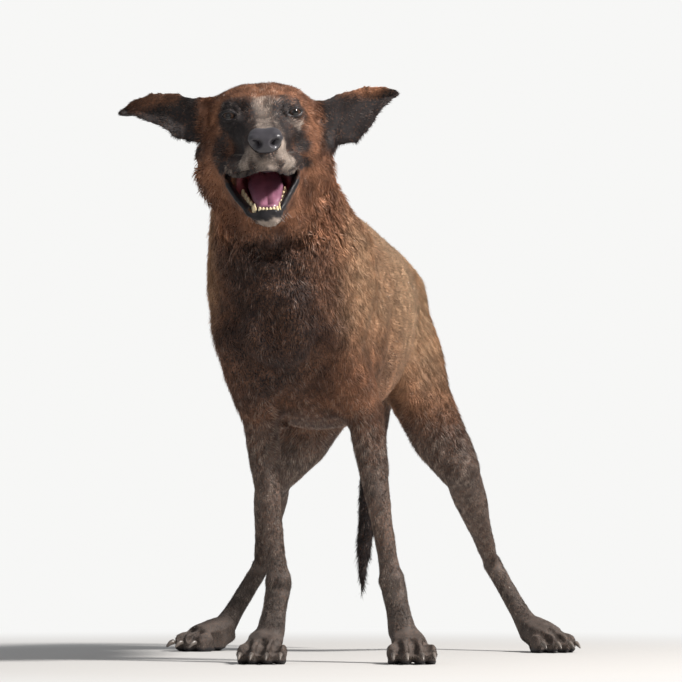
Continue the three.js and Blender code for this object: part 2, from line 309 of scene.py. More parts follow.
def final_mesh(holder):
    """The object's mesh with its modifiers applied; the object itself is thrown away."""
    bpy.context.view_layer.update()
    finished = holder.evaluated_get(bpy.context.evaluated_depsgraph_get())
    result = bpy.data.meshes.new_from_object(finished)
    bpy.data.objects.remove(holder)
    return result


def with_modifier(mesh, kind, **settings):
    holder = new_object("holder", mesh)
    modifier = holder.modifiers.new(kind, kind)
    for name, value in settings.items():
        setattr(modifier, name, value)
    result = final_mesh(holder)
    bpy.data.meshes.remove(mesh)
    return result


def smooth_step(low, high, value):
    """0 up to `low`, 1 from `high` onward and a soft slope between; it may also run downward."""
    t = np.clip((value - low) / (high - low), 0, 1)
    return t * t * (3 - 2 * t)


# %% [markdown]
# ### Relaxing
# Plain smoothing takes facets out but thins an ear or a leg too. Each round here smooths by one
# step and then swells back by a slightly longer one, so facets fade and the form keeps its size.
# The closer the two steps are, the broader a form has to be to stay.

# %% Relax a mesh
PULL = 0.5
FINE_SWELL = 0.53
BROAD_SWELL = 0.506


def relax(mesh, rounds, weight=1.0, swell=FINE_SWELL):
    """Smooths and swells in turn; `weight` says how much, point by point."""
    places = read(mesh, "place", 3)
    edges = read(mesh, "edge", 2, int)
    weight = np.broadcast_to(weight, len(places))
    if weight.min() < 0.01:
        edges = edges[(weight[edges] >= 0.01).any(1)]
    used, ends = np.unique(edges, return_inverse=True)
    ends = ends.reshape(-1, 2)
    ends, others = np.concatenate([ends, ends[:, ::-1]]).T
    weight = weight[used]
    degree = np.bincount(ends)
    moved = places[used]
    for _ in range(rounds):
        for pull in (PULL, -swell):
            sums = [np.bincount(ends, weights=moved[others, axis]) for axis in range(3)]
            moved = moved + (pull * weight)[:, None] * (np.stack(sums, 1) / degree[:, None] - moved)
    places[used] = moved
    write_places(mesh, places)


# %% [markdown]
# ### The head's own frame
# The head is turned, rolled and tilted, so a brow or a lip would be hard to place in the room's
# axes. In the head's own frame x runs to the dog's left, y to the back and z up, in millimetres
# from between the eyes, and a stroke on one side mirrors to the other. The lower jaw has such a
# frame too, turned open about its hinge.

# %% The head's own frame
HEAD_TURN = {"pitch": 1.4, "roll": -3.4, "yaw": 17.3}
EYE_FORWARD = 14 * MM
JAW_OPEN = 22
JAW_HINGE = Vector((0, 48, -42)) * MM


def middle(node):
    low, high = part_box(node)
    return (low + high) / 2


def head_matrix():
    turn = Matrix.Rotation(math.radians(HEAD_TURN["yaw"]), 4, "Z")
    turn = turn @ Matrix.Rotation(math.radians(HEAD_TURN["roll"]), 4, "Y")
    turn = turn @ Matrix.Rotation(math.radians(HEAD_TURN["pitch"]), 4, "X")
    bridge = (middle("eye_left") + middle("eye_right")) / 2
    origin = bridge - turn.to_3x3() @ Vector((0, -EYE_FORWARD, 0))
    return Matrix.Translation(origin) @ turn


HEAD = head_matrix()
JAW = (
    HEAD
    @ Matrix.Translation(JAW_HINGE)
    @ Matrix.Rotation(math.radians(JAW_OPEN), 4, "X")
    @ Matrix.Translation(-JAW_HINGE)
)
BODY = Matrix.Identity(4)
print("between the eyes:", [round(v, 4) for v in HEAD.translation])


def local(places, matrix):
    """World places in millimetres of a frame such as the head's."""
    turn = np.array(matrix.to_3x3())
    return (np.asarray(places) - np.array(matrix.translation)) @ turn / MM


def world(places, matrix):
    turn = np.array(matrix.to_3x3())
    return np.asarray(places, float) * MM @ turn.T + np.array(matrix.translation)


# %% [markdown]
# ### Lines, bars and eggs of clay
# Lips, folds and teeth follow short curves. A few knots and a smooth curve through them say more
# than a long list of points, and a bevelled curve or a sphere makes the clay round them.

# %% Curves through a few places


def through(knots, count):
    """A smooth curve through the knots, sampled at even steps of its parameter."""
    knots = np.asarray(knots, float)
    padded = np.vstack([2 * knots[0] - knots[1], knots, 2 * knots[-1] - knots[-2]])
    at = np.linspace(0, len(knots) - 1 - 1e-9, count)
    step = at.astype(int)
    t = (at - step)[:, None]
    a, b, c, d = (padded[step + i] for i in range(4))
    bend = 2 * a - 5 * b + 4 * c - d
    return 0.5 * (2 * b + (c - a) * t + bend * t**2 + (3 * b - a - 3 * c + d) * t**3)


def tube(places, radii, closed=False, sides=6):
    """A round bar through world places, as a mesh."""
    data = bpy.data.curves.new("tube", "CURVE")
    data.dimensions = "3D"
    data.bevel_depth = 1
    data.bevel_resolution = max(sides // 4, 1)
    data.use_fill_caps = not closed
    line = data.splines.new("POLY")
    line.points.add(len(places) - 1)
    line.points.foreach_set("co", np.c_[places, np.ones(len(places))].ravel())
    line.points.foreach_set("radius", np.broadcast_to(radii, len(places)).astype(float))
    line.use_cyclic_u = closed
    return final_mesh(new_object("tube", data))


def lump(bm, centre, radii, matrix):
    """An egg of clay with its radii along the frame's own axes."""
    size = Matrix.Diagonal((*(Vector(radii) * MM), 1))
    place = matrix @ Matrix.Translation(Vector(centre) * MM) @ size
    bmesh.ops.create_uvsphere(bm, u_segments=24, v_segments=14, radius=1, matrix=place)


# %% [markdown]
# ### The line of the lips
# The dog pants with its mouth wide open, so the edge of the lips is one closed loop. It goes from
# under the nose along the upper lip, round the corner and back along the lower lip to the chin.
# One half is given and the other is its mirror image, then both are pulled as the smile pulls them.

# %% The line of the lips
UPPER_LIP = [
    (47, -8, -60),
    (39, -28, -66),
    (31, -48, -71),
    (24, -70, -71),
    (14, -90, -66),
    (0, -98, -64),
]
LOWER_LIP = [
    (47, -8, -63),
    (41, -19, -77),
    (32, -34, -92),
    (23, -49, -104),
    (17, -61, -114),
    (0, -68, -117),
]
CORNER = (49, -3, -62)
JAW_ASIDE = -3
CHEEK_WIDTH = {1: 0.86, -1: 1.03}


def cheek_wide(spots):
    """The smile pulls the dog's right corner out further than its left one."""
    spots = np.array(spots, float)
    spots[:, 0] *= np.where(spots[:, 0] > 0, CHEEK_WIDTH[1], CHEEK_WIDTH[-1])
    return spots


def lip_loop(count=40):
    """The closed line round the open mouth, in the head's millimetres."""
    left = through([*UPPER_LIP[::-1], CORNER, *LOWER_LIP], count)
    right = left[::-1] * (-1, 1, 1)
    loop = cheek_wide(np.vstack([left, right[1:-1]]))
    loop[:, 0] += JAW_ASIDE * smooth_step(-70, -100, loop[:, 2])
    return loop


LIPS = lip_loop()
print("lips:", len(LIPS), "points,", round(float(np.ptp(LIPS[:, 0]))), "mm across")

# %% [markdown]
# ### Clay and remesh
# Some forms of the skin are too fine for the plain solids: the lids over the eyes, the cheeks at
# the corners of the mouth, the tip of the muzzle, the lips, and the folds from the upper lip down
# to the jaw. Eggs and bars of clay are laid there before the remesh, which melts them in. The
# knife edges of the ears are thinner than a voxel, so they swell a little first.

# %% Join the clay and remesh it
VOXEL = 2.2 * MM
COARSE_VOXEL = 5 * MM
EAR_SWELL = 1.5 * MM
EYE_RADIUS = 10.5
LID_THICKNESS = 1.2
LIP_RADIUS = 3.2
BAR_STEPS = 12
BARE = ("eye_", "claw_", "nose", "tongue")
flesh = [name for name in frame["nodes"] if not name.startswith(BARE)]


def joined(names):
    bm = bmesh.new()
    for name in names:
        bm.from_mesh(frame["nodes"][name].data)
    bmesh.ops.remove_doubles(bm, verts=bm.verts, dist=1e-6)
    return bm


def ear_share(spots):
    """1 on the blades of the ears; the spots are the head's own millimetres."""
    out = smooth_step(62, 76, np.abs(spots[:, 0])) * smooth_step(-52, -36, spots[:, 2])
    return out * (spots[:, 1] < 110) * (spots[:, 1] > 10)


def thicken_ears(bm):
    """An ear's knife edge is thinner than a voxel, so the ears swell before the remesh."""
    bm.normal_update()
    shares = ear_share(local([vert.co for vert in bm.verts], HEAD))
    for vert, share in zip(bm.verts, shares):
        vert.co += vert.normal * EAR_SWELL * share


# The folds of cheek that join the lower lip to the jaw: their line, and their radius at each end.
JOWLS = [
    (((46, -2, -68), (38, -15, -85), (29, -31, -98), (21, -47, -108)), (6, 5)),
    (((44, 8, -76), (35, -8, -92), (27, -26, -103), (19, -44, -112)), (10, 6)),
    (((48, 14, -60), (46, 2, -68)), (12, 8)),
]


def add_clay(bm):
    for side, hand in SIDES.items():
        eye = local(middle(f"eye_{side}"), HEAD)
        lump(bm, eye, [EYE_RADIUS + LID_THICKNESS] * 3, HEAD)
        lump(bm, (hand * 42 * CHEEK_WIDTH[hand], 0, -50), (8, 17, 15), HEAD)
        lump(bm, (hand * 11, -86, -54), (13, 13, 12), HEAD)
    lump(bm, (0, -84, -54), (14, 14, 14), HEAD)
    bars = [tube(world(LIPS, HEAD), LIP_RADIUS * MM, closed=True)]
    for hand in SIDES.values():
        for knots, ends in JOWLS:
            line = through(cheek_wide(np.array(knots) * (hand, 1, 1)), BAR_STEPS)
            radii = np.interp(np.linspace(0, 1, BAR_STEPS), (0, 1), ends)
            bars.append(tube(world(line, HEAD), radii * MM, sides=12))
    for bar in bars:
        bm.from_mesh(bar)
        bpy.data.meshes.remove(bar)


def largest_part(mesh):
    """Drops the few stray crumbs that a remesh leaves."""
    bm = bmesh.new()
    bm.from_mesh(mesh)
    seed = max(bm.verts, key=lambda vert: vert.co.z)
    seen = {seed}
    rim = [seed]
    while rim:
        rim = {edge.other_vert(vert) for vert in rim for edge in vert.link_edges} - seen
        seen |= rim
    bmesh.ops.delete(bm, geom=[vert for vert in bm.verts if vert not in seen], context="VERTS")
    bm.to_mesh(mesh)
    bm.free()


clay = joined(flesh)
thicken_ears(clay)
add_clay(clay)
skin = with_modifier(as_mesh(clay), "REMESH", mode="VOXEL", voxel_size=VOXEL)
largest_part(skin)
form = with_modifier(as_mesh(joined(flesh)), "REMESH", mode="VOXEL", voxel_size=COARSE_VOXEL)
print("skin:", len(skin.vertices), "points, coarse form:", len(form.vertices))

# %% [markdown]
# ### The body without facets
# The solids are faceted, and on the broad trunk and neck the facets are wide. To relax them away
# on the fine skin would take thousands of rounds. A coarse copy of the same surface relaxes in far
# fewer, so it is smoothed first and the fine skin is drawn onto it. The face, the ears and the
# paws keep their own finer forms.

# %% Draw the body onto the relaxed form
SOLE = (0.002, 0.008)


def paw_share(places):
    return 1 - smooth_step(0.045, 0.075, places[:, 2])


def leg_share(places):
    return 1 - smooth_step(0.20, 0.30, places[:, 2])


def head_share(places):
    """1 on the face, muzzle and ears, fading to 0 before the ruff."""
    spots = local(places, HEAD)
    deep = smooth_step(52, 14, spots[:, 1])
    high = smooth_step(-140, -115, spots[:, 2])
    return np.maximum(np.minimum(deep, high), ear_share(spots))


form_places = read(form, "place", 3)
relax(form, 14, 1 - paw_share(form_places))
relax(form, 260, (1 - leg_share(form_places)) * (1 - head_share(form_places)), swell=BROAD_SWELL)


def draw_onto(mesh, target, share):
    corners = [tuple(face.vertices) for face in target.polygons]
    tree = BVHTree.FromPolygons([vert.co for vert in target.vertices], corners)
    places = read(mesh, "place", 3)
    for index in np.flatnonzero(share > 0.01):
        spot = Vector(places[index])
        places[index] = spot.lerp(tree.find_nearest(spot)[0], share[index])
    write_places(mesh, places)


places = read(skin, "place", 3)
body_share = (1 - paw_share(places)) * (1 - head_share(places))
draw_onto(skin, form, body_share)
bpy.data.meshes.remove(form)
relax(skin, 8)
relax(skin, 110, paw_share(places) * smooth_step(*SOLE, places[:, 2]), swell=BROAD_SWELL)
print("drawn onto the relaxed form:", int((body_share > 0.01).sum()), "points")

# %% [markdown]
# ## Modelling the forms
# The smooth skin still lacks brows, cheek bones, muscles and tendons. They could be sculpted by
# hand, but a script has no hand, so each is a stroke, the way a sculptor adds and presses clay.
# `press` moves the skin along its own normals near a short line: outwards for a ridge or a muscle,
# inwards for a groove or a hollow.

# %% The modelling stroke


def line_distance(spots, start, end):
    start, end = np.asarray(start, float), np.asarray(end, float)
    run = end - start
    t = np.clip((spots - start) @ run / max(run @ run, 1e-9), 0, 1)
    return np.linalg.norm(spots - start - t[:, None] * run, axis=1)


def press(mesh, matrix, strokes):
    """Strokes are (start, end, reach, amount) in millimetres of a frame."""
    places = read(mesh, "place", 3)
    normals = read(mesh, "normal", 3)
    spots = local(places, matrix)
    move = np.zeros(len(places))
    for start, end, reach, amount in strokes:
        far = line_distance(spots, start, end) / reach
        move += amount * np.clip(1 - far**2, 0, 1) ** 2
    write_places(mesh, places + normals * move[:, None] * MM)


def mirrored(spot):
    return (-spot[0], spot[1], spot[2])


def both(strokes):
    """Each stroke and its mirror image across the frame's middle."""
    images = [(mirrored(start), mirrored(end), *rest) for start, end, *rest in strokes]
    return [*strokes, *images]


# %% [markdown]
# ### Skull, brows and cheeks
# The skull and cheeks are relaxed first, more with every millimetre from the lips, whose edge has
# to stay crisp. Then the strokes give the dog its brows, cheek bones, whisker pads and furrows.

# %% The skull, relaxed up to the lips
FAR_FROM_LIPS = 99.0


def nearest_on(line, spots):
    """For each spot, the index of the nearest point of a line and the distance to it."""
    tree = KDTree(len(line))
    for index, knot in enumerate(line):
        tree.insert(knot, index)
    tree.balance()
    return np.array([tree.find(spot)[1:] for spot in spots]).T


def lip_nearest(spots):
    """For each spot the number of the nearest point of the lips, and its distance."""
    index, far = np.zeros(len(spots)), np.full(len(spots), FAR_FROM_LIPS)
    front = (spots[:, 1] < 60) & (spots[:, 2] > -150) & (np.abs(spots[:, 0]) < 80)
    face = np.flatnonzero(front)
    index[face], far[face] = nearest_on(LIPS, spots[face])
    return index, far


def cheek_share(spots):
    """The skull and cheeks, without ears and muzzle tip."""
    deep = smooth_step(110, 80, spots[:, 1]) * smooth_step(-60, -35, spots[:, 1])
    return deep * smooth_step(-165, -130, spots[:, 2]) * (1 - ear_share(spots))


places = read(skin, "place", 3)
spots = local(places, HEAD)
lip_far = lip_nearest(spots)[1]
relax(skin, 160, cheek_share(spots) * smooth_step(5, 16, lip_far), swell=BROAD_SWELL)
relax(skin, 40, head_share(places) * smooth_step(2, 7, lip_far))
relax(skin, 60, ear_share(spots))
print("within 16 mm of the lips:", int((lip_far < 16).sum()), "points")

# %% Strokes of the face, as (start, end, reach, amount) in the head's millimetres
FACE_MIDDLE = [
    ((0, -18, 12), (0, 20, 34), 15, -2.0),  # the furrow of the forehead
    ((0, -34, 0), (0, -18, 10), 14, -1.5),  # the stop, where forehead meets muzzle
    ((0, -98, -46), (0, -98, -53), 13, 4.5),  # the lip under the nose
    ((0, -104, -46), (0, -100, -62), 4, -1.8),  # the groove down its middle
]
FACE_SIDE = [
    ((14, -22, 14), (44, -8, 18), 13, 4.5),  # the brow
    ((19, -27, -6), (24, -22, -10), 10, -4.5),  # the inner corner of the eye
    ((28, -24, -16), (46, -4, -16), 9, -3.0),  # the hollow under the eye
    ((47, 0, -18), (64, 34, -20), 15, 3.0),  # the cheek bone
    ((32, -56, -40), (42, -14, -34), 14, -3.0),  # the hollow in front of it
    ((46, -4, 4), (54, 14, 10), 13, -2.0),  # the temple
    ((18, -84, -46), (22, -78, -50), 15, 1.2),  # the whisker pad
    ((20, -72, -72), (32, -44, -72), 10, -3.5),  # the fold over the upper lip
    ((36, -28, -64), (44, -8, -62), 10, -3.0),  # the same fold near the corner
    ((9, -94, -20), (11, -34, -6), 8, 1.0),  # the edge of the nose's bridge
    ((50, 30, -48), (50, 44, -60), 26, 3.0),  # the jaw's muscle
]
press(skin, HEAD, [*FACE_MIDDLE, *both(FACE_SIDE)])
print("face modelled with", len(FACE_MIDDLE) + 2 * len(FACE_SIDE), "strokes")

# %% [markdown]
# ### Ears
# The real blades are hollow in front, like a spoon, and end in a fringe of hair. The remeshed
# blades are flat and reach to the hair's tips. So each is measured in bands across, narrowed a
# little about its middle line to leave room for the fringe, and pushed back where it faces front.

# %% Cup and narrow the ears
EAR_NARROWING = 0.1
EAR_HOLLOW = 4.0
EAR_TIP_SHORTER = 3.0
EAR_STATIONS = range(70, 160, 10)
CUP_WIDTH = 0.85


def shape_ears(mesh):
    spots = local(read(mesh, "place", 3), HEAD)
    forward = smooth_step(-0.2, -0.7, (read(mesh, "normal", 3) @ np.array(HEAD.to_3x3()))[:, 1])
    for hand in SIDES.values():
        blade = np.flatnonzero((ear_share(spots) > 0.01) & (spots[:, 0] * hand > 0))
        out = np.abs(spots[blade, 0])
        bands = [spots[blade][np.abs(out - station) < 5, 2] for station in EAR_STATIONS]
        centre = np.interp(out, EAR_STATIONS, [np.median(band) for band in bands])
        half = np.interp(out, EAR_STATIONS, [np.ptp(band) / 2 for band in bands])
        cup = np.clip(1 - ((spots[blade, 2] - centre) / (CUP_WIDTH * half)) ** 2, 0, 1)
        cup *= smooth_step(68, 84, out) * smooth_step(158, 128, out) * ear_share(spots[blade])
        spots[blade, 1] += EAR_HOLLOW * cup * forward[blade]
        pull = EAR_NARROWING * ear_share(spots[blade])
        spots[blade, 2] += (centre - spots[blade, 2]) * pull
        spots[blade, 0] -= hand * EAR_TIP_SHORTER * smooth_step(110, 160, out)
        print("ear blade:", len(blade), "points, up to", round(2 * float(half.max())), "mm wide")
    write_places(mesh, world(spots, HEAD))


shape_ears(skin)

# %% [markdown]
# ### The lips once more
# The jaw's solid carries its two canine teeth, and the remesh melted them into the skin. The teeth
# are made again as a piece of their own, so the bumps they left are smoothed away without any
# swelling, and the edge of the lips is relaxed a little.

# %% Smooth the lips and the bumps of the canines
CANINE_BUMP = ((13.4, -74.0, -67), (14.8, -77, -54))

spots = local(read(skin, "place", 3), HEAD)
relax(skin, 14, smooth_step(16, 8, lip_nearest(spots)[1]))
spots = local(read(skin, "place", 3), JAW)
for hand in SIDES.values():
    foot, tip = cheek_wide(np.array(CANINE_BUMP) * (hand, 1, 1))
    canine = line_distance(spots, foot, tip)
    bump_share = smooth_step(7, 4.5, canine) * smooth_step(-69, -65, spots[:, 2])
    relax(skin, 60, bump_share, swell=0)
    print("canine bump:", int((bump_share > 0.01).sum()), "points")

# %% [markdown]
# ## Body anatomy
# Under a short coat the shoulder blade, the muscle over the elbow, the hip bone, the hollow of the
# flank and the tendon above each hock all show, so each gets a stroke. They hang on the joints, so
# a leg that stands elsewhere takes its muscles along.

# %% The joints of the legs, in the frame's millimetres
JOINTS = {
    "left": {
        "shoulder": (80, -186, 372),
        "elbow": (90, -112, 276),
        "carpus": (126, -130, 93),
        "hip": (46, 248, 404),
        "knee": (122, 216, 222),
        "hock": (126, 365, 106),
    },
    "right": {
        "shoulder": (-40, -208, 372),
        "elbow": (-28, -140, 276),
        "carpus": (0, -162, 93),
        "hip": (-20, 246, 404),
        "knee": (-110, 208, 216),
        "hock": (-164, 344, 103),
    },
}


def near(joint, shift, hand):
    """A place beside a joint: outward, back and up."""
    return (joint[0] + hand * shift[0], joint[1] + shift[1], joint[2] + shift[2])


def along(upper, lower, share, shift, hand):
    """A place beside the bone between two joints."""
    return near([p + (q - p) * share for p, q in zip(upper, lower)], shift, hand)


def by_joints(first, first_shift, second, second_shift, hand, reach, amount):
    """A stroke from beside one joint to beside another."""
    return (near(first, first_shift, hand), near(second, second_shift, hand), reach, amount)


def by_bone(upper, lower, top, bottom, hand, reach, amount):
    """Two strokes down the sides of a bone, each end given as (share, out, back, up)."""
    strokes = []
    for way in (1, -1):
        ends = [
            along(upper, lower, share, (way * out, back, up), hand)
            for share, out, back, up in (top, bottom)
        ]
        strokes.append((*ends, reach, amount))
    return strokes


# %% Strokes of the legs


def foreleg_strokes(joints, hand):
    shoulder, elbow, carpus = joints["shoulder"], joints["elbow"], joints["carpus"]
    return [
        # the spine of the shoulder blade, the point of the shoulder and the muscle over the elbow
        by_joints(shoulder, (20, 90, 140), shoulder, (26, 10, 20), hand, 26, 3.5),
        by_joints(shoulder, (0, -40, 10), shoulder, (10, -34, -8), hand, 26, 3.0),
        by_joints(elbow, (26, 10, 110), elbow, (22, 12, 30), hand, 34, 4.0),
        # the hollow behind it, and the point of the elbow
        by_joints(elbow, (26, 62, 130), elbow, (26, 52, 40), hand, 26, -5.0),
        by_joints(elbow, (2, 30, 10), elbow, (2, 26, -6), hand, 17, 4.0),
        # the grooves beside the forearm's bone
        *by_bone(elbow, carpus, (0.35, 18, 8, 0), (0.9, 14, 7, 0), hand, 9, -3.0),
        # the pad behind the wrist, and the wrist itself
        by_joints(carpus, (0, 17, -12), carpus, (0, 17, -16), hand, 9, 4.0),
        by_joints(carpus, (-10, -10, 2), carpus, (10, -10, 2), hand, 13, 3.0),
    ]


def hindleg_strokes(joints, hand):
    hip, knee, hock = joints["hip"], joints["knee"], joints["hock"]
    return [
        # the hip bone, the thigh's muscle and the groove behind it
        by_joints(hip, (40, -20, 95), hip, (36, -30, 85), hand, 26, 4.0),
        by_joints(hip, (50, 0, -40), knee, (16, 10, 50), hand, 40, 3.0),
        by_joints(hip, (50, 66, -20), knee, (20, 66, 20), hand, 18, -3.5),
        # the hollow of the flank, and the knee cap
        by_joints(hip, (46, -72, 10), knee, (20, -36, 96), hand, 34, -6.0),
        by_joints(knee, (2, -26, 6), knee, (2, -24, -8), hand, 17, 3.0),
        # the hollows in front of the heel's tendon, and the point of the hock
        *by_bone(knee, hock, (0.5, 16, 10, 8), (0.92, 12, 4, 8), hand, 10, -3.4),
        by_joints(hock, (0, 14, 10), hock, (0, 12, 2), hand, 11, 3.0),
    ]


# %% Strokes of the trunk, as (start, end, reach, amount)
body_strokes = [
    ((17, -90, 552), (14, 250, 500), 16, 1.6),  # the ridge of the back
    ((16, -294, 440), (22, -262, 320), 17, -9.0),  # the groove down the breast
    ((46, -284, 420), (48, -250, 345), 27, 6.0),  # the left breast muscle
    ((-12, -286, 420), (-6, -256, 345), 27, 6.0),  # the right one
    ((72, -262, 440), (72, -214, 310), 17, -8.0),  # the groove to the left upper arm
    ((-32, -264, 440), (-28, -224, 310), 17, -8.0),  # and to the right one
    ((4, -205, 314), (28, -205, 314), 38, 16.0),  # the brisket, low between the forelegs
    ((2, -172, 288), (30, -172, 288), 38, 9.0),  # and further back
    ((4, -265, 398), (30, -265, 390), 36, -8.0),  # the breast's front, drawn in
    ((0, -250, 452), (22, -250, 452), 34, 5.0),  # the root of the neck
    ((-14, -120, 282), (-10, -60, 284), 26, 7.0),  # the armpit behind the right elbow
]
for side, hand in SIDES.items():
    body_strokes += foreleg_strokes(JOINTS[side], hand)
    body_strokes += hindleg_strokes(JOINTS[side], hand)
press(skin, BODY, body_strokes)
print("body modelled with", len(body_strokes), "strokes")

# %% [markdown]
# ### Toes, breast and throat
# A dog's paw is four toes with arched knuckles. The solids give the paw's outline, so a groove
# goes between each two toes and a small swelling on each knuckle, found from the claws' places.
# The breast is relaxed once more after its strokes, and a fold of loose skin crosses the throat.

# %% Toes


def toe_strokes(paw, side):
    """A groove between each two toes and a knuckle on each, found from the claws' places."""
    toe_names = ("inner", "middle_inner", "middle_outer", "outer")
    claws = [np.array(middle(f"claw_{paw}_{side}_{toe}")) / MM for toe in toe_names]
    heart = np.array(middle(f"{paw}_paw_{side}")) / MM
    back = (heart - sum(claws) / 4) * (1, 1, 0)
    back /= np.linalg.norm(back)
    strokes = []
    for claw, other in zip(claws, claws[1:]):
        start = (claw + other) / 2 + back * 7 + (0, 0, 6)
        strokes.append((start, start + back * 24 + (0, 0, 9), 7, -4.5))
    for claw in claws:
        knuckle = claw + back * 13 + (0, 0, 10)
        strokes.append((knuckle, knuckle + back * 5, 9, 2.2))
    return strokes


grooves = [
    stroke for paw in ("fore", "hind") for side in SIDES for stroke in toe_strokes(paw, side)
]
press(skin, BODY, grooves)
print("toes modelled with", len(grooves), "strokes")

# %% Breast and throat
BREAST_LINE = ((8, -265, 470), (16, -210, 310))
THROAT_FOLD = [(-56, 36, -126), (-29, 27, -148), (5, 24, -157), (36, 27, -151), (56, 36, -132)]

breast = line_distance(read(skin, "place", 3) / MM, *BREAST_LINE)
relax(skin, 70, smooth_step(95, 50, breast), swell=BROAD_SWELL)
folds = []
for start, end in zip(THROAT_FOLD, THROAT_FOLD[1:]):
    raised = [(x, y - 4, z + 14) for x, y, z in (start, end)]
    folds += [(start, end, 13, -7.5), (*raised, 15, 4.0)]
press(skin, HEAD, folds)
relax(skin, 6, body_share)
print("throat fold:", len(folds), "strokes")

# %% [markdown]
# ## Lids
# A dog's lids are skin that slides over the eyeball, and they part in an almond slit with a thick
# rim. Separate lids would show a seam, so they are made in the skin itself. Round each eye it is
# cut finer, laid close over the eyeball, pushed in where the lids open and rolled a little outward
# along the rim, so that the eyeball sits behind a real slit.

# %% Eye frames
GAZE_OUT = 12
SLIT = {"half_width": 9.2, "upper": 4.7, "lower": 3.8, "tilt": 9}
SLIT_PEAK = {"upper": -0.6, "lower": 0.8}


def eye_matrix(side, hand):
    """At the eyeball's centre: x outward along the slit, y into the head, z up."""
    turn = HEAD.to_3x3().to_4x4()
    turn = turn @ Matrix.Rotation(math.radians(hand * GAZE_OUT), 4, "Z")
    turn = turn @ Matrix.Rotation(math.radians(-hand * SLIT["tilt"]), 4, "Y")
    return Matrix.Translation(middle(f"eye_{side}")) @ turn @ Matrix.Diagonal((hand, 1, 1, 1))


EYES = {side: eye_matrix(side, hand) for side, hand in SIDES.items()}


def slit_height(across, which):
    """How far one lid is open, at a distance across from the middle of the almond slit."""
    run = np.clip(np.abs(across - SLIT_PEAK[which]) / SLIT["half_width"], 0, 1)
    return SLIT[which] * (1 - run**2.2) ** 0.85


def slit_depth(spots):
    """Millimetres inside the edge of the slit; below 0 on the lids."""
    across, up = spots[:, 0], spots[:, 2]
    rim = np.where(up > 0, slit_height(across, "upper"), slit_height(across, "lower"))
    beyond = np.abs(across) - SLIT["half_width"]
    return np.where(beyond > 0, -np.hypot(beyond, up), rim - np.abs(up))


def eye_local(places, matrix):
    back = np.array(matrix.inverted())
    return (np.asarray(places) @ back[:3, :3].T + back[:3, 3]) / MM


def eye_world(places, matrix):
    turn = np.array(matrix)
    return np.asarray(places, float) * MM @ turn[:3, :3].T + turn[:3, 3]


eye_gap = (EYES["left"].translation - EYES["right"].translation).length
print("eyes:", round(eye_gap / MM, 1), "mm apart")

# %% Cut the skin finer round the eyes


def refine(mesh, chosen, cuts):
    bm = bmesh.new()
    bm.from_mesh(mesh)
    picked = set(np.flatnonzero(chosen).tolist())
    edges = [edge for edge in bm.edges if picked.issuperset(vert.index for vert in edge.verts)]
    bmesh.ops.subdivide_edges(bm, edges=edges, cuts=cuts, use_grid_fill=True)
    bm.to_mesh(mesh)
    bm.free()


def eye_zone(places, reach):
    zone = np.zeros(len(places), bool)
    for matrix in EYES.values():
        spots = eye_local(places, matrix)
        zone |= (np.linalg.norm(spots, axis=1) < reach) & (spots[:, 1] < 3)
    return zone


EYE_REACH = 17
refine(skin, eye_zone(read(skin, "place", 3), EYE_REACH + 2), 3)
relax(skin, 12, eye_zone(read(skin, "place", 3), EYE_REACH).astype(float))
print("skin cut finer round the eyes:", len(skin.vertices), "points")

# %% Open the lids
RIM_ROLL = {"height": 0.9, "from_edge": 1.4, "spread": 1.6}
UPPER_CREASE = {"from_edge": 5.0, "depth": 1.5}
LOWER_CREASE = {"from_edge": 4.4, "depth": 1.0}
CREASE_SPREAD = 1.3
BEHIND_SLIT = 2.5


def bell(value, spread):
    return np.exp(-(value**2) / spread)


def open_lids(mesh, matrix):
    places = read(mesh, "place", 3)
    spots = eye_local(places, matrix)
    distance = np.linalg.norm(spots, axis=1)
    chosen = np.flatnonzero((distance < EYE_REACH + 1) & (spots[:, 1] < 0))
    spots, distance = spots[chosen], distance[chosen]
    upper = spots[:, 2] > 0
    inside = slit_depth(spots)
    roll = RIM_ROLL["height"] * bell(inside + RIM_ROLL["from_edge"], RIM_ROLL["spread"])
    target = np.maximum(distance, EYE_RADIUS + LID_THICKNESS + roll)
    crease_at = np.where(upper, UPPER_CREASE["from_edge"], LOWER_CREASE["from_edge"])
    crease = bell(inside + crease_at, CREASE_SPREAD) * (np.abs(spots[:, 0]) < 12)
    target -= np.where(upper, UPPER_CREASE["depth"], LOWER_CREASE["depth"]) * crease
    opened = smooth_step(-0.25, 0.7, inside)
    target = target + (EYE_RADIUS - BEHIND_SLIT - target) * opened
    places[chosen] = eye_world(spots / distance[:, None] * target[:, None], matrix)
    write_places(mesh, places)
    print("lids of one eye:", len(chosen), "points,", int((opened > 0.5).sum()), "in the slit")


for matrix in EYES.values():
    open_lids(skin, matrix)

# %% [markdown]
# ## Bare places and markings
# The dog has a black mask frosted with grey, black-brown legs, chest and tail tip, and a paler
# back. The paler back is partly its own sandy tone and partly painted light, and the paler flanks
# are painted light. Black also lays painted shade over the breast, the belly, the right side of
# the face and the hollows of the ears. Lips, gums, lid rims and pads carry no hair at all. The
# marks could be a painted picture, but that would fit one view only. Here they are shares from 0
# to 1, laid on with soft strokes and kept on the skin's points, so that the skin and every tuft
# that grows from it agree.

# %% The mouth's inside
# Stations from the teeth back to the throat: how deep, the middle's height, then how far it
# reaches sideways, up and down from there.
MOUTH = [
    (-86, -84, 14, 28, 25),
    (-60, -84, 18, 32, 31),
    (-30, -80, 25, 27, 27),
    (0, -74, 29, 21, 23),
    (30, -67, 19, 12, 14),
]
MOUTH_AXIS = (-14, -80)


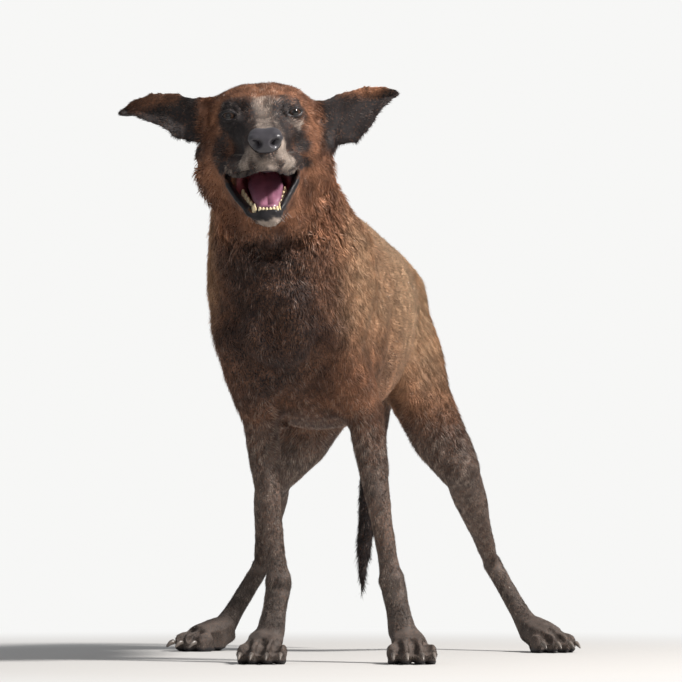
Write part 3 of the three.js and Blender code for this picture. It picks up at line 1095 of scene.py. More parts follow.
def mouth_share(spots, facing):
    """1 inside the open mouth: within its depth, or past the lips and facing its middle line."""
    depths, *sizes = np.array(MOUTH, float).T
    centre, wide, above, below = (np.interp(spots[:, 1], depths, size) for size in sizes)
    up = spots[:, 2] - centre
    ring = np.hypot(spots[:, 0] / wide, up / np.where(up > 0, above, below))
    deep = smooth_step(1.22, 1.12, ring) * (spots[:, 1] > -88) * (spots[:, 1] < 42)
    index, far = lip_nearest(spots)
    lip = LIPS[index.astype(int)]
    axis_back, axis_up = MOUTH_AXIS
    axis = np.stack([0 * lip[:, 0], lip[:, 1] - axis_back, np.full(len(lip), float(axis_up))], 1)
    inward = axis - lip
    inward /= np.linalg.norm(inward, axis=1, keepdims=True)
    past = ((spots - lip) * inward).sum(1)
    turned = smooth_step(-0.1, 0.25, (facing * inward).sum(1))
    within = (np.abs(spots[:, 0]) < np.abs(lip[:, 0]) - 1) & (far < 34) & (spots[:, 1] < 20)
    return np.maximum(deep, smooth_step(1.0, 3.0, past) * turned * within)


# %% Soft strokes of paint


def soft(spots, start, end, reach):
    """A soft stroke of paint: 1 on the line, 0 from `reach` onward."""
    return smooth_step(1, 0.3, line_distance(spots, start, end) / reach)


def painted(spots, strokes):
    share = np.zeros(len(spots))
    for start, end, reach, amount in strokes:
        share = np.maximum(share, amount * soft(spots, start, end, reach))
    return share


# %% Marks of the face, as (start, end, reach, amount) in the head's millimetres
# The dog's own black mask, plus painted shade on its right side, away from the key lamp, where the
# strokes are wider and stronger.
FACE_BLACK_AND_SHADE = [
    ((-34, -14, 2), (-26, -60, -38), 34, 1.0),  # from the right eye down the muzzle
    ((22, -22, 4), (20, -70, -38), 27, 0.9),  # and from the left eye
    ((-22, -20, 15), (-14, -26, 5), 13, 0.8),  # over the inner corners of the eyes
    ((24, -18, 17), (14, -28, 6), 13, 0.8),
    ((38, -12, 10), (48, -4, 0), 14, 0.95),  # beside the left eye
    ((40, -16, -20), (46, -12, -36), 15, 1.0),  # the left cheek
    # Painted shade: the right cheek is darkened.
    ((-50, -16, -14), (-50, -4, -50), 18, 0.8),  # the right cheek
    ((0, -96, -20), (0, -40, -6), 18, 0.8),  # the bridge of the nose
    ((0, -106, -46), (0, -102, -62), 4.5, 0.8),  # the groove under the nose
    ((36, -24, -52), (48, -6, -58), 12, 0.85),  # over the corners of the mouth
    ((-36, -24, -52), (-48, -6, -58), 14, 0.95),
    ((-20, -50, -118), (20, -50, -118), 22, 0.6),  # behind the chin
]
FACE_GREY = [
    ((2, -18, 16), (0, -80, -14), 17, 0.62),  # the blaze, from the forehead to the nose
    ((8, 2, 36), (4, -18, 16), 26, 0.2),  # its faint start on the skull
    ((8, -30, -6), (14, -76, -26), 16, 0.4),  # beside the blaze
    ((-10, -40, -8), (-12, -76, -26), 10, 0.25),
    ((26, -26, -12), (42, -12, -13), 10, 0.75),  # under the left eye
    ((16, -88, -42), (30, -62, -56), 24, 0.85),  # the whisker pads
    ((-12, -92, -46), (-30, -66, -58), 19, 0.7),
    ((0, -92, -46), (0, -92, -60), 20, 0.75),  # the lip under the nose
    ((-8, -70, -123), (8, -70, -123), 22, 1.0),  # the chin
    ((-44, -12, 13), (-54, -2, -2), 7, 0.4),  # beside the right eye
    ((40, -16, -60), (28, -50, -76), 9, 0.6),  # along the upper lip
    ((-40, -16, -60), (-28, -50, -76), 9, 0.6),
]
EAR_DARK_AND_SHADE = 0.92
EAR_BROWN = [((96, 40, 34), (132, 50, 32), 24, 0.75), ((-100, 40, 30), (-140, 50, 22), 16, 0.5)]


def face_marks(spots, facing):
    """Shares of black, grey, bare and pink on the head; the black holds painted shade on the right
    side and in the ears' hollows.
    """
    x, y, z = spots.T
    lips = lip_nearest(spots)[1]
    inside = mouth_share(spots, facing)
    mask = smooth_step(0, -26, y) * smooth_step(42, 6, z) * smooth_step(-100, -70, z)
    black = np.maximum(painted(spots, FACE_BLACK_AND_SHADE), 0.85 * mask)
    # The fronts of the ears: their own dark brown, deepened by painted shade in the hollow.
    ear_fronts = ear_share(spots) * smooth_step(55, 44, y - 0.0006 * x**2)
    black = np.maximum(black, ear_fronts * (EAR_DARK_AND_SHADE - painted(spots, EAR_BROWN)))
    band = 2.2 + 3.2 * smooth_step(-70, -80, z)
    bare = np.maximum(smooth_step(band + 1, band - 1, lips), smooth_step(0.4, 0.8, inside))
    pink = smooth_step(0.5, 0.9, inside) * smooth_step(12, 20, lips)
    return black, painted(spots, FACE_GREY), bare, pink


# %% Marks of the body, in the frame's millimetres
CHEST_BLACK_AND_SHADE = [
    # Partly the breast's and belly's own dark brown, partly painted shade under the chest and on
    # the belly.
    ((8, -285, 450), (12, -255, 300), 150, 0.72),  # the breast
    ((15, -170, 260), (15, 60, 260), 100, 0.55),  # the belly
]
INNER_THIGHS = ((-10, 200, 330), (20, 200, 330), 90)


def body_marks(places):
    """Shares of black on legs, chest and tail, with painted shade on the breast and belly; of pale
    on the back and flanks, partly painted light; and of frost on the legs.
    """
    x, y, z = places.T
    legs = smooth_step(345, 235, z) * (0.71 + 0.16 * smooth_step(150, 60, z))
    tail = smooth_step(300, 330, y) * smooth_step(470, 200, z) * (np.abs(x + 20) < 80) * (z > 60)
    legs = legs * (1 - 0.5 * soft(places, *INNER_THIGHS))
    black = np.maximum.reduce([legs, 0.9 * tail, painted(places, CHEST_BLACK_AND_SHADE)])
    # Paler on top and toward the back: partly the coat's own sandy tone, partly painted light where
    # the sun falls on the top.
    pale = smooth_step(250, 440, z) * smooth_step(-230, 60, y)
    # Painted light: the upper flanks are paler, as where sunlight falls on them.
    flank_light = 0.68 * smooth_step(320, 420, z) * smooth_step(55, 90, np.abs(x - 15))
    pale = np.maximum(pale, flank_light * smooth_step(-300, -170, y))
    frost = 0.36 * smooth_step(330, 240, z) * (1 - tail)
    return black, pale, frost


# %% Bare rims of the lids, and bare soles


def lid_rim_share(places):
    share = np.zeros(len(places))
    for matrix in EYES.values():
        spots = eye_local(places, matrix)
        close = (np.linalg.norm(spots, axis=1) < 15) & (spots[:, 1] < 0)
        share = np.maximum(share, close * smooth_step(2.2, 0.8, -slit_depth(spots)))
    return share


def pad_share(places):
    """The leathery soles, where the paws meet the floor."""
    return smooth_step(5.5, 3.5, places[:, 2])


print("marks of", len(FACE_BLACK_AND_SHADE) + len(FACE_GREY) + len(EAR_BROWN), "strokes on the head")

# %% [markdown]
# ## How long the hair is
# The coat is about 11 mm long on the trunk, up to 18 mm on the cheeks, and down to 4 mm on the
# muzzle, the ears and the feet. The skin lies under it by the coat's depth, so that the tips of
# the hair, and not the skin, reach the animal's outline. One function gives the length for both.

# %% Coat length and depth
TRUNK_HAIR = 11.0
EAR_HAIR = 4.6
LEG_HAIR = 5.5
PAW_HAIR = 3.6


def on_tail(at):
    """The tail hangs behind the legs: a wide zone at its root, a narrow one down to its tip."""
    x, y, z = at.T
    root = (y > 318) & (np.abs(x + 20) < 70) & (z > 130)
    return root | (y > 340) & (np.abs(x + 30) < 45)


def skull_hair(spots):
    """Short on the muzzle, longer over the skull and longest on the cheeks."""
    back, up = spots[:, 1], spots[:, 2]
    cheeks = 8 * smooth_step(5, 50, back) * smooth_step(14, -30, up)
    return 4.2 + 4.2 * smooth_step(-60, 30, back) + cheeks + 3.0 * smooth_step(40, 90, back)


def coat_length(places):
    """Hair length in millimetres at places in metres."""
    spots = local(places, HEAD)
    at = places / MM
    length = np.full(len(places), TRUNK_HAIR)
    length += 2.4 * soft(at, (5, -200, 560), (5, -120, 480), 130)
    length += 1.0 * soft(at, (10, -270, 480), (15, -250, 360), 110)
    length -= 2.5 * soft(at, (15, -120, 270), (15, 180, 300), 90)
    forward, above = smooth_step(110, 60, spots[:, 1]), smooth_step(-165, -125, spots[:, 2])
    length = length + (skull_hair(spots) - length) * forward * above
    length = length * (0.5 + 0.5 * smooth_step(2, 9, lip_nearest(spots)[1]))
    length = length + (EAR_HAIR - length) * ear_share(spots)
    tail = on_tail(at)
    length = length + (LEG_HAIR - length) * smooth_step(300, 200, at[:, 2]) * ~tail
    length = length + (PAW_HAIR - length) * smooth_step(60, 35, at[:, 2]) * ~tail
    return np.where(tail, 8 + 4 * smooth_step(260, 110, at[:, 2]), length)


def coat_depth(length, ears):
    return (0.5 + 0.34 * length) * (1 - 0.75 * ears)


# %% [markdown]
# ## Finishing the skin
# The fine remesh has more points than its forms still need, and tufts hide most of it, so two
# thirds of its faces are dissolved. Then it takes its marks, sinks under the coat and is unwrapped
# flat, stretch by stretch, which gives every root of hair its own place on the map.

# %% Thin the mesh and mark it
THINNING = 0.34


def add_colours(mesh, name, columns):
    """Keeps four values for each point; a column may also be one number for all of them."""
    rows = [np.broadcast_to(column, len(mesh.vertices)) for column in columns]
    layer = mesh.color_attributes.new(name, "FLOAT_COLOR", "POINT")
    layer.data.foreach_set("color", np.stack(rows, 1).astype(np.float32).ravel())


skin = with_modifier(skin, "DECIMATE", ratio=THINNING)
places = read(skin, "place", 3)
spots = local(places, HEAD)
facing = read(skin, "normal", 3) @ np.array(HEAD.to_3x3())
black, grey, bare, pink = face_marks(spots, facing)
body_black, pale, frost = body_marks(places / MM)
off_head = 1 - smooth_step(95, 60, spots[:, 1]) * smooth_step(-150, -110, spots[:, 2])
black = black * (spots[:, 1] < 110) * (spots[:, 2] > -150)
black = np.maximum(black, body_black * off_head)
pale = pale * off_head
grey = np.maximum(grey * (spots[:, 1] < 60), frost * off_head)
bare = bare * (spots[:, 1] < 60)
bare = np.maximum.reduce([bare, lid_rim_share(places), pad_share(places / MM)])
# The black share holds painted shade too, on the breast, the belly, the face's right side and the
# ears' hollows; the pale share holds painted light on the top and flanks.
add_colours(skin, "marks", [black, grey, pale, bare])
# The skin counts as the root of its hair, so the painted root shade darkens it too.
add_colours(skin, "hair", [0, 0.5, pink, 1])
print("black:", round(float(black.mean()), 3), "bare:", round(float(bare.mean()), 3))

# %% Sink it under the coat and unwrap it
depth = coat_depth(coat_length(places), ear_share(spots))
depth = depth * (1 - np.maximum(bare, eye_zone(places, EYE_REACH) * 0.9))
write_places(skin, places - read(skin, "normal", 3) * depth[:, None] * MM)


def unwrap(mesh, name):
    holder = new_object("holder", mesh)
    bpy.context.view_layer.objects.active = holder
    holder.select_set(True)
    mesh.uv_layers.new(name=name)
    bpy.ops.object.mode_set(mode="EDIT")
    bpy.ops.mesh.select_all(action="SELECT")
    bpy.ops.uv.smart_project(angle_limit=math.radians(72), island_margin=0.001)
    bpy.ops.object.mode_set(mode="OBJECT")
    bpy.data.objects.remove(holder)


unwrap(skin, "OFBake")
print("skin:", len(skin.vertices), "points", len(skin.polygons), "faces")

# %% [markdown]
# ## Eyeballs and lid rims
# An eyeball is a ball with a clear bulge, the cornea, over the iris. A sphere is the shape it is
# nearest to, so one is made with its poles along the gaze and its front points are raised into
# the bulge. Each point keeps its distance from the gaze's axis, which the eye's colours need. The
# dark wet edge of the lids is a thin bar that follows both edges of the slit.

# %% Eyeballs with a raised cornea
IRIS = 6.4
PUPIL = 2.9
CORNEA_BULGE = 0.085
BEHIND_EYE = 30


def smooth_faces(mesh):
    mesh.polygons.foreach_set("use_smooth", np.ones(len(mesh.polygons), bool))
    return mesh


def eyeball(matrix):
    bm = bmesh.new()
    forward = Matrix.Rotation(math.pi / 2, 4, "X")
    bmesh.ops.create_uvsphere(bm, u_segments=64, v_segments=40, radius=EYE_RADIUS, matrix=forward)
    mesh = as_mesh(bm, "eyeball")
    spots = read(mesh, "place", 3)
    off_axis = np.where(spots[:, 1] < 0, np.hypot(spots[:, 0], spots[:, 2]), BEHIND_EYE)
    spots *= (1 + CORNEA_BULGE * smooth_step(IRIS + 0.6, 0, off_axis))[:, None]
    write_places(mesh, eye_world(spots, matrix))
    add_colours(mesh, "eye", [off_axis / 10, 0, 0, 1])
    return smooth_faces(mesh)


def merged(meshes, name):
    """Many small meshes as one piece, with its faces turned outward."""
    bm = bmesh.new()
    for mesh in meshes:
        bm.from_mesh(mesh)
        bpy.data.meshes.remove(mesh)
    bmesh.ops.recalc_face_normals(bm, faces=bm.faces)
    return smooth_faces(as_mesh(bm, name))


# Each finished piece: its mesh, the slot of its look, and the solids that it stands for.
pieces = {}


def keep(mesh, slot, hides=()):
    pieces[mesh.name] = (mesh, slot, hides)
    print(mesh.name, len(mesh.polygons), "faces")


eyeballs = merged([eyeball(matrix) for matrix in EYES.values()], "eyeballs")
keep(eyeballs, "eye", ["eye_left", "eye_right"])

# %% The wet rims of the lids
RIM_RADIUS = 0.62
RIM_OUT = 0.75


def lid_line(which, count=18):
    """The edge of one lid, in the eye's own millimetres."""
    across = np.linspace(-1, 1, count) * SLIT["half_width"]
    up = slit_height(across, which) * (1 if which == "upper" else -1)
    out = EYE_RADIUS + RIM_OUT
    return np.stack([across, -np.sqrt(out**2 - across**2 - up**2), up], 1)


def lid_rim(matrix):
    lines = np.vstack([lid_line("upper"), lid_line("lower")[::-1][1:-1]])
    return tube(eye_world(lines, matrix), RIM_RADIUS * MM, closed=True, sides=8)


keep(merged([lid_rim(matrix) for matrix in EYES.values()], "lid_rims"), "nose")

# %% [markdown]
# ## The nose leather
# The nose is a bare pad, broad above and narrower below, with a groove down its middle and two
# nostrils that end in slits. A sphere is squared a little, narrowed below and behind, and then
# modelled with strokes as the skin is. Pressing the holes in, rather than cutting them, keeps the
# pad one closed form; the depth of each pit is kept on the points, to darken it as painted shade.

# %% The nose leather
NOSE = {"centre": (0, -93.5, -32.5), "radii": (19.2, 16, 15.6)}
NOSTRIL = ((8.6, -113.5, -36), (12.4, -108, -37))
SQUARENESS = 3
NOSE_SWELLS = [
    ((11, -112, -26), (18, -102, -30), 6, 1.4),  # the wing over the nostril
    ((4, -115, -40), (9, -112, -44), 4.5, 1.2),  # the edge below it
]
NOSE_TOP = ((0, -108, -18), (0, -96, -16), 12, -1.4)
NOSE_GROOVE = ((0, -116, -31), (0, -110, -46), 2.2, -1.6)
NOSTRIL_SLIT = ((12, -112, -37), (19, -100, -39), 2.6, -3.2)


def nose_ball():
    """A ball drawn to the nose's outline, in the head's millimetres."""
    bm = bmesh.new()
    bmesh.ops.create_icosphere(bm, subdivisions=6, radius=1)
    mesh = as_mesh(bm, "nose_leather")
    spots = read(mesh, "place", 3)
    spots /= (np.abs(spots) ** SQUARENESS).sum(1, keepdims=True) ** (1 / SQUARENESS)
    spots[:, 0] *= 1 - 0.3 * smooth_step(0.2, -1.0, spots[:, 2])
    spots[:, 1] += 0.3 * smooth_step(0.0, 1.0, spots[:, 2])
    spots[:, [0, 2]] *= 1 - 0.32 * smooth_step(-0.1, 1.0, spots[:, [1]])
    write_places(mesh, world(spots * NOSE["radii"] + NOSE["centre"], HEAD))
    return mesh


def nose_mesh():
    mesh = nose_ball()
    nostrils = [(mirrored(NOSTRIL[0]), mirrored(NOSTRIL[1])), NOSTRIL]
    press(mesh, HEAD, [NOSE_TOP, *both(NOSE_SWELLS)])
    press(mesh, HEAD, [(*hole, 7.2, -10.0) for hole in nostrils])
    press(mesh, HEAD, [NOSE_GROOVE, *both([NOSTRIL_SLIT])])
    relax(mesh, 4)
    spots = local(read(mesh, "place", 3), HEAD)
    # Painted shade: the pits of the nostrils darken toward their depth.
    pit_shade = np.zeros(len(spots))
    for start, end in nostrils:
        hole_far = line_distance(spots, np.array(start) + (0, 4, 0), end)
        pit_shade = np.maximum(pit_shade, smooth_step(5.2, 3.6, hole_far))
    add_colours(mesh, "nose", [pit_shade, 0, 0, 1])
    return smooth_faces(mesh)


keep(nose_mesh(), "nose", ["nose"])

# %% [markdown]
# ## The lower teeth
# The open mouth shows six incisors, a canine on each side and a row of premolars with three cusps
# each, while the upper teeth stay behind the lip. A bar that bends and tapers makes a canine, and
# eggs of enamel, sunk in the gum, make the rest. All stand in the jaw's own frame.

# %% The lower teeth
CANINE = [(12.8, -71, -73), (13.8, -76.5, -65), (14.8, -77, -55)]
CANINE_RADII = (3.2, 2.3, 0.4)
CANINE_STEPS = 9
INCISOR = (2.3, 2.0, 6.8)
PREMOLARS = 5


def canine_tooth(hand):
    line = through(cheek_wide(np.array(CANINE) * (hand, 1, 1)), CANINE_STEPS)
    middle_step = (CANINE_STEPS - 1) / 2
    radii = np.interp(np.arange(CANINE_STEPS), (0, middle_step, 2 * middle_step), CANINE_RADII)
    return tube(world(line, JAW), radii * MM, sides=12)


def incisor(hand, step):
    bm = bmesh.new()
    lump(bm, (hand * (2.0 + 3.8 * step), -82.5 + 0.9 * step**1.4, -65), INCISOR, JAW)
    return as_mesh(bm)


def premolar(hand, back):
    """A tooth with a main cusp and a smaller one before and behind it; `back` runs from 0 to 1."""
    centre = cheek_wide([(hand * (15.5 + 9.5 * back), -62 + 42 * back, -66 + 1.5 * back)])[0]
    wide = 3.4 + 2.2 * back
    bm = bmesh.new()
    lump(bm, centre, (2.5, wide, 3.8 + 2.2 * back), JAW)
    for way in (-1, 1):
        cusp = centre + (0, way * wide * 0.75, -2)
        lump(bm, cusp, (2.1, wide * 0.55, 3.0 + 1.4 * back), JAW)
    return as_mesh(bm)


def tooth_row():
    shapes = []
    for hand in (-1, 1):
        shapes.append(canine_tooth(hand))
        shapes += [incisor(hand, step) for step in range(3)]
        shapes += [premolar(hand, step / (PREMOLARS - 1)) for step in range(PREMOLARS)]
    return merged(shapes, "teeth")


keep(tooth_row(), "claw")

# %% [markdown]
# ## The tongue
# The tongue lies along the jaw, with a soft groove down its middle and edges that curl up over
# the teeth. Its solid has the right outline but facets, so a copy is remeshed and relaxed like the
# skin, and two strokes, a wide and a narrow one, press the groove.

# %% The tongue
TONGUE_VOXEL = 1.3 * MM
TONGUE_SWELL = 0.508
TONGUE_MIDDLE = ((0, -66, -58), (0, 10, -48))
TONGUE_EDGE = ((19, -10, -54), (15, -56, -58), 7, 2.0)


def tongue_mesh():
    solid = as_mesh(joined(["tongue"]))
    mesh = with_modifier(solid, "REMESH", mode="VOXEL", voxel_size=TONGUE_VOXEL)
    mesh.name = "tongue_flesh"
    relax(mesh, 90, swell=TONGUE_SWELL)
    groove = [(*TONGUE_MIDDLE, 7, -3.2), (*TONGUE_MIDDLE, 2.2, -1.6)]
    press(mesh, JAW, [*groove, *both([TONGUE_EDGE])])
    relax(mesh, 4)
    return smooth_faces(mesh)


keep(tongue_mesh(), "tongue", ["tongue"])

# %% [markdown]
# ## Claws
# The solids already give each claw its place, its arch and its tip. Subdividing a joined copy
# rounds their facets into horn, and nothing else has to change.

# %% Claws
claw_nodes = [name for name in frame["nodes"] if name.startswith("claw_")]
claws = with_modifier(as_mesh(joined(claw_nodes)), "SUBSURF", levels=2, render_levels=2)
claws.name = "claws_horn"
keep(smooth_faces(claws), "claw", claw_nodes)

# %% [markdown]
# ## Whiskers
# Whiskers stand in rows on the pads of the upper lip, over the eyes and under the chin. They are
# stiffer than the coat and stand off the face, so they can't come from the coat's tufts. Each is a
# tapering bar that droops a little, with its aim and length drawn by chance from a fixed seed.

# %% Whiskers
chance = np.random.default_rng(11)
WHISKER_STEPS = 7


def whisker(root, aim, length, thick):
    root, aim = np.array(root, float), np.array(aim, float)
    aim /= np.linalg.norm(aim)
    droop = np.array([0, 0.1, -0.22]) * length
    steps = np.linspace(0, 1, WHISKER_STEPS)[:, None]
    line = root + aim * length * steps + droop * steps**2
    radii = np.linspace(thick, thick * 0.25, WHISKER_STEPS)
    return tube(world(line, HEAD), radii * MM, sides=4)


def lip_whiskers(hand):
    shapes = []
    for row in range(3):
        for step in range(3):
            root = (hand * (19 + 3.2 * step), -80 + 9 * step, -46 - 5.5 * row)
            aim = np.array([hand * 1.0, -0.5 + 0.3 * step, -0.3 * row]) + chance.normal(0, 0.15, 3)
            shapes.append(whisker(root, aim, chance.uniform(10, 18), 0.11))
    return shapes


def brow_whiskers(hand):
    shapes = []
    for step in range(2):
        root = (hand * (26 + 5 * step), -12, 17)
        shapes.append(whisker(root, (hand * 0.35, -0.9, 0.7 + 0.2 * step), 10, 0.14))
    return shapes


def chin_whiskers(hand):
    shapes = []
    for step in range(7):
        root = (hand * (3 + 3 * step), -64 + 1.5 * step, -121 + 1.2 * step)
        aim = np.array([hand * 0.15 * step, -0.6, -0.8]) + chance.normal(0, 0.25, 3)
        shapes.append(whisker(root, aim, chance.uniform(6, 11), 0.16))
    return shapes


shapes = []
for hand in (-1, 1):
    shapes += lip_whiskers(hand) + brow_whiskers(hand) + chin_whiskers(hand)
keep(merged(shapes, "whiskers"), "coat")

# %% [markdown]
# ## The coat
# A short coat lies flat and points away from the nose: back over the skull and the trunk, down the
# legs. Particle hair is dropped by an export, so each tuft here is a thin closed blade, three
# sided, that leaves the skin at a low angle and bends back along the lie of the hair. First comes
# the lie: strokes of a comb over the body, each pulling the hair near it along its own direction.

# %% The comb over the head, as (start, end, reach) in the head's millimetres
HEAD_COMB = [
    ((0, -90, -24), (0, -40, -8), 30),
    ((0, -40, -6), (0, 10, 32), 32),
    ((0, 10, 36), (0, 90, 34), 40),
    *both(
        [
            ((14, -88, -44), (34, -40, -46), 24),
            ((34, -40, -44), (60, 20, -50), 30),
            ((26, -70, -30), (44, -20, -18), 22),
            ((20, -30, 12), (50, 10, 26), 24),
            ((48, -6, 6), (66, 40, -4), 24),
            ((50, 0, -56), (66, 50, -100), 34),
            ((64, 30, -30), (80, 80, -70), 40),
            ((10, -66, -122), (30, -10, -118), 24),
            ((0, -40, -124), (0, 20, -140), 30),
            ((40, 0, -90), (44, 50, -130), 34),
        ]
    ),
    ((70, 44, 26), (155, 56, 13), 36),
    ((-70, 44, 26), (-155, 56, 13), 36),
]


# %% The comb over the body, as (start, end, reach) in the frame's millimetres
TRUNK_COMB = [
    ((5, -180, 620), (12, -90, 550), 70),  # down the nape
    ((12, -90, 550), (15, 90, 530), 90),  # along the back
    ((15, 90, 530), (12, 290, 490), 90),
    ((10, -250, 500), (14, -285, 400), 70),  # down the breast
    ((14, -285, 400), (18, -230, 300), 60),
    ((18, -200, 275), (18, 180, 290), 70),  # along the belly
    ((12, 290, 470), (6, 340, 420), 50),  # over the rump
    ((4, 350, 440), (-12, 384, 360), 30),  # down the tail
    ((-12, 384, 360), (-42, 386, 70), 30),
]


def side_comb(joints, hand):
    """The strokes over one side of the body and down its two legs."""
    shoulder, elbow, carpus = joints["shoulder"], joints["elbow"], joints["carpus"]
    hip, knee, hock = joints["hip"], joints["knee"], joints["hock"]
    return [
        # the side of the neck and the shoulder
        ((hand * 60 + 5, -190, 600), (hand * 75 + 10, -160, 470), 60),
        ((hand * 60 + 8, -240, 540), near(shoulder, (6, -34, 20), hand), 60),
        (near(shoulder, (20, 60, 120), hand), near(elbow, (20, 30, 60), hand), 60),
        (near(shoulder, (10, 0, 20), hand), near(elbow, (10, 0, 10), hand), 40),
        # down the foreleg
        (elbow, carpus, 30),
        (carpus, (carpus[0] + hand * 10, carpus[1] - 30, 10), 26),
        # the ribs and the flank
        ((hand * 90 + 18, -80, 440), (hand * 84 + 15, 100, 400), 70),
        ((hand * 84 + 15, -60, 340), (hand * 70 + 12, 110, 330), 60),
        ((hand * 70 + 12, 120, 430), (hand * 60 + 10, 200, 420), 60),
        # the thigh and down the hind leg
        (near(hip, (30, -30, 70), hand), near(knee, (14, -10, 60), hand), 60),
        (near(hip, (20, 60, 30), hand), near(knee, (6, 70, 0), hand), 50),
        (knee, hock, 34),
        (hock, (hock[0] + hand * 30, hock[1] - 50, 14), 26),
    ]


body_comb = [*TRUNK_COMB]
for side, hand in SIDES.items():
    body_comb += side_comb(JOINTS[side], hand)
print("comb strokes:", len(HEAD_COMB), "on the head,", len(body_comb), "on the body")

# %% The lie of the coat


def comb_field(places, normals):
    """For each place a unit direction along the skin: the nearest comb strokes, blended."""
    strokes = []
    for start, end, reach in HEAD_COMB:
        strokes.append((world([start], HEAD)[0], world([end], HEAD)[0], reach))
    for start, end, reach in body_comb:
        strokes.append((np.array(start) * MM, np.array(end) * MM, reach))
    field = np.zeros_like(places)
    for start, end, reach in strokes:
        ahead = (end - start) / np.linalg.norm(end - start)
        far = line_distance(places, start, end) / MM / reach
        field += ahead / (0.05 + far**4)[:, None]
    field -= (field * normals).sum(1, keepdims=True) * normals
    return field / np.maximum(np.linalg.norm(field, axis=1, keepdims=True), 1e-9)


# %% [markdown]
# ### Roots and ripples
# Hair roots are spread evenly but never in rows. Each triangle of the skin gets as many roots as
# its area asks for, with the part of a root that is left over decided by chance. Hair also falls
# in soft clumps, so slow waves turn it a little; crossed sine waves give them without a picture.

# %% Where tufts grow
grower = np.random.default_rng(7)


def ripple(places, wave, seed):
    """A smooth value from -1 to 1 that changes over about `wave` metres: crossed sine waves."""
    turn = np.random.default_rng(seed)
    total = np.zeros(len(places))
    for _ in range(5):
        run = turn.normal(size=3)
        run *= 2 * math.pi / wave / np.linalg.norm(run) * turn.uniform(0.7, 1.4)
        total += np.sin(places @ run + turn.uniform(0, 6.3))
    return total / 2.6


def triangles_of(mesh):
    mesh.calc_loop_triangles()
    corners = np.empty(len(mesh.loop_triangles) * 3, np.int32)
    mesh.loop_triangles.foreach_get("vertices", corners)
    loops = np.empty(len(mesh.loop_triangles) * 3, np.int32)
    mesh.loop_triangles.foreach_get("loops", loops)
    return corners.reshape(-1, 3), loops.reshape(-1, 3)


def colours_of(mesh, name):
    values = np.empty(len(mesh.vertices) * 4, np.float32)
    mesh.color_attributes[name].data.foreach_get("color", values)
    return values.reshape(-1, 4).astype(float)


def scatter(mesh, spacing):
    """Random roots over the skin, `spacing` millimetres apart (a value per point of the skin)."""
    places = read(mesh, "place", 3)
    corners, loops = triangles_of(mesh)
    a, b, c = (places[corners[:, i]] for i in range(3))
    area = np.linalg.norm(np.cross(b - a, c - a), axis=1) / 2
    want = area / MM**2 / spacing[corners].mean(1) ** 2
    count = np.floor(want + grower.random(len(want))).astype(int)
    face = np.repeat(np.arange(len(corners)), count)
    u, v = grower.random((2, len(face)))
    flip = u + v > 1
    u[flip], v[flip] = 1 - u[flip], 1 - v[flip]
    weights = np.stack([1 - u - v, u, v], 1)
    return corners[face], loops[face], weights


def blend(values, corners, weights):
    """A value at each root, from the values at the corners round it."""
    return (values[corners] * weights[..., None]).sum(1)


# %% [markdown]
# ### One blade, many times
# A million faces made one by one would take minutes, so all the tufts of a stretch of skin are
# built at once, from arrays with a row for each tuft. Each is a triangle in section, widest in its
# middle and closed at both ends, with its root just under the skin. Short tufts are straight
# spikes, and long ones have a ring halfway, where they bend. On the map OFBake each tuft is a
# patch 0.003 across at its root's place.

# %% Blades from arrays
UV_PATCH = 0.0015
ROOT_UNDER_SKIN = 0.5 * MM
RING_WIDTHS = (0.75, 1.0)
FLATNESS = 0.55


def unit(rows):
    return rows / np.maximum(np.linalg.norm(rows, axis=1, keepdims=True), 1e-9)


def blade_faces(rings):
    """Corner numbers of one blade: its buried base, its sides and its tip."""
    faces = [(2, 1, 0)]
    for ring in range(rings - 1):
        for side in range(3):
            a, b = ring * 3 + side, ring * 3 + (side + 1) % 3
            faces += [(a, b, b + 3), (a, b + 3, a + 3)]
    low = (rings - 1) * 3
    faces += [(low + side, low + (side + 1) % 3, rings * 3) for side in range(3)]
    return np.array(faces)


def tilted(lie, normal, angle):
    return unit(lie * np.cos(angle)[:, None] + normal * np.sin(angle)[:, None])


def blade_points(tufts, rings):
    """The points of every tuft: rings of three from the root on, then the tip."""
    lie, normal, lift, curl = (tufts[key] for key in ("lie", "normal", "lift", "curl"))
    side = unit(np.cross(lie, normal))
    start, end = tilted(lie, normal, lift), tilted(lie, normal, lift - curl)
    widths = RING_WIDTHS if rings > 1 else (1.0,)
    foot = tufts["root"] - normal * ROOT_UNDER_SKIN
    points = np.empty((len(side), rings * 3 + 1, 3))
    for ring, t in enumerate(np.linspace(0, 1, rings + 1)):
        spine = foot + (start * (t - t * t / 2) + end * t * t / 2) * tufts["length"][:, None]
        if ring == rings:
            points[:, -1] = spine
            break
        top = np.cross(side, unit(start * (1 - t) + end * t))
        half = (tufts["width"] * widths[ring] / 2)[:, None]
        points[:, ring * 3] = spine - side * half
        points[:, ring * 3 + 1] = spine + side * half
        points[:, ring * 3 + 2] = spine - top * half * FLATNESS
    return points


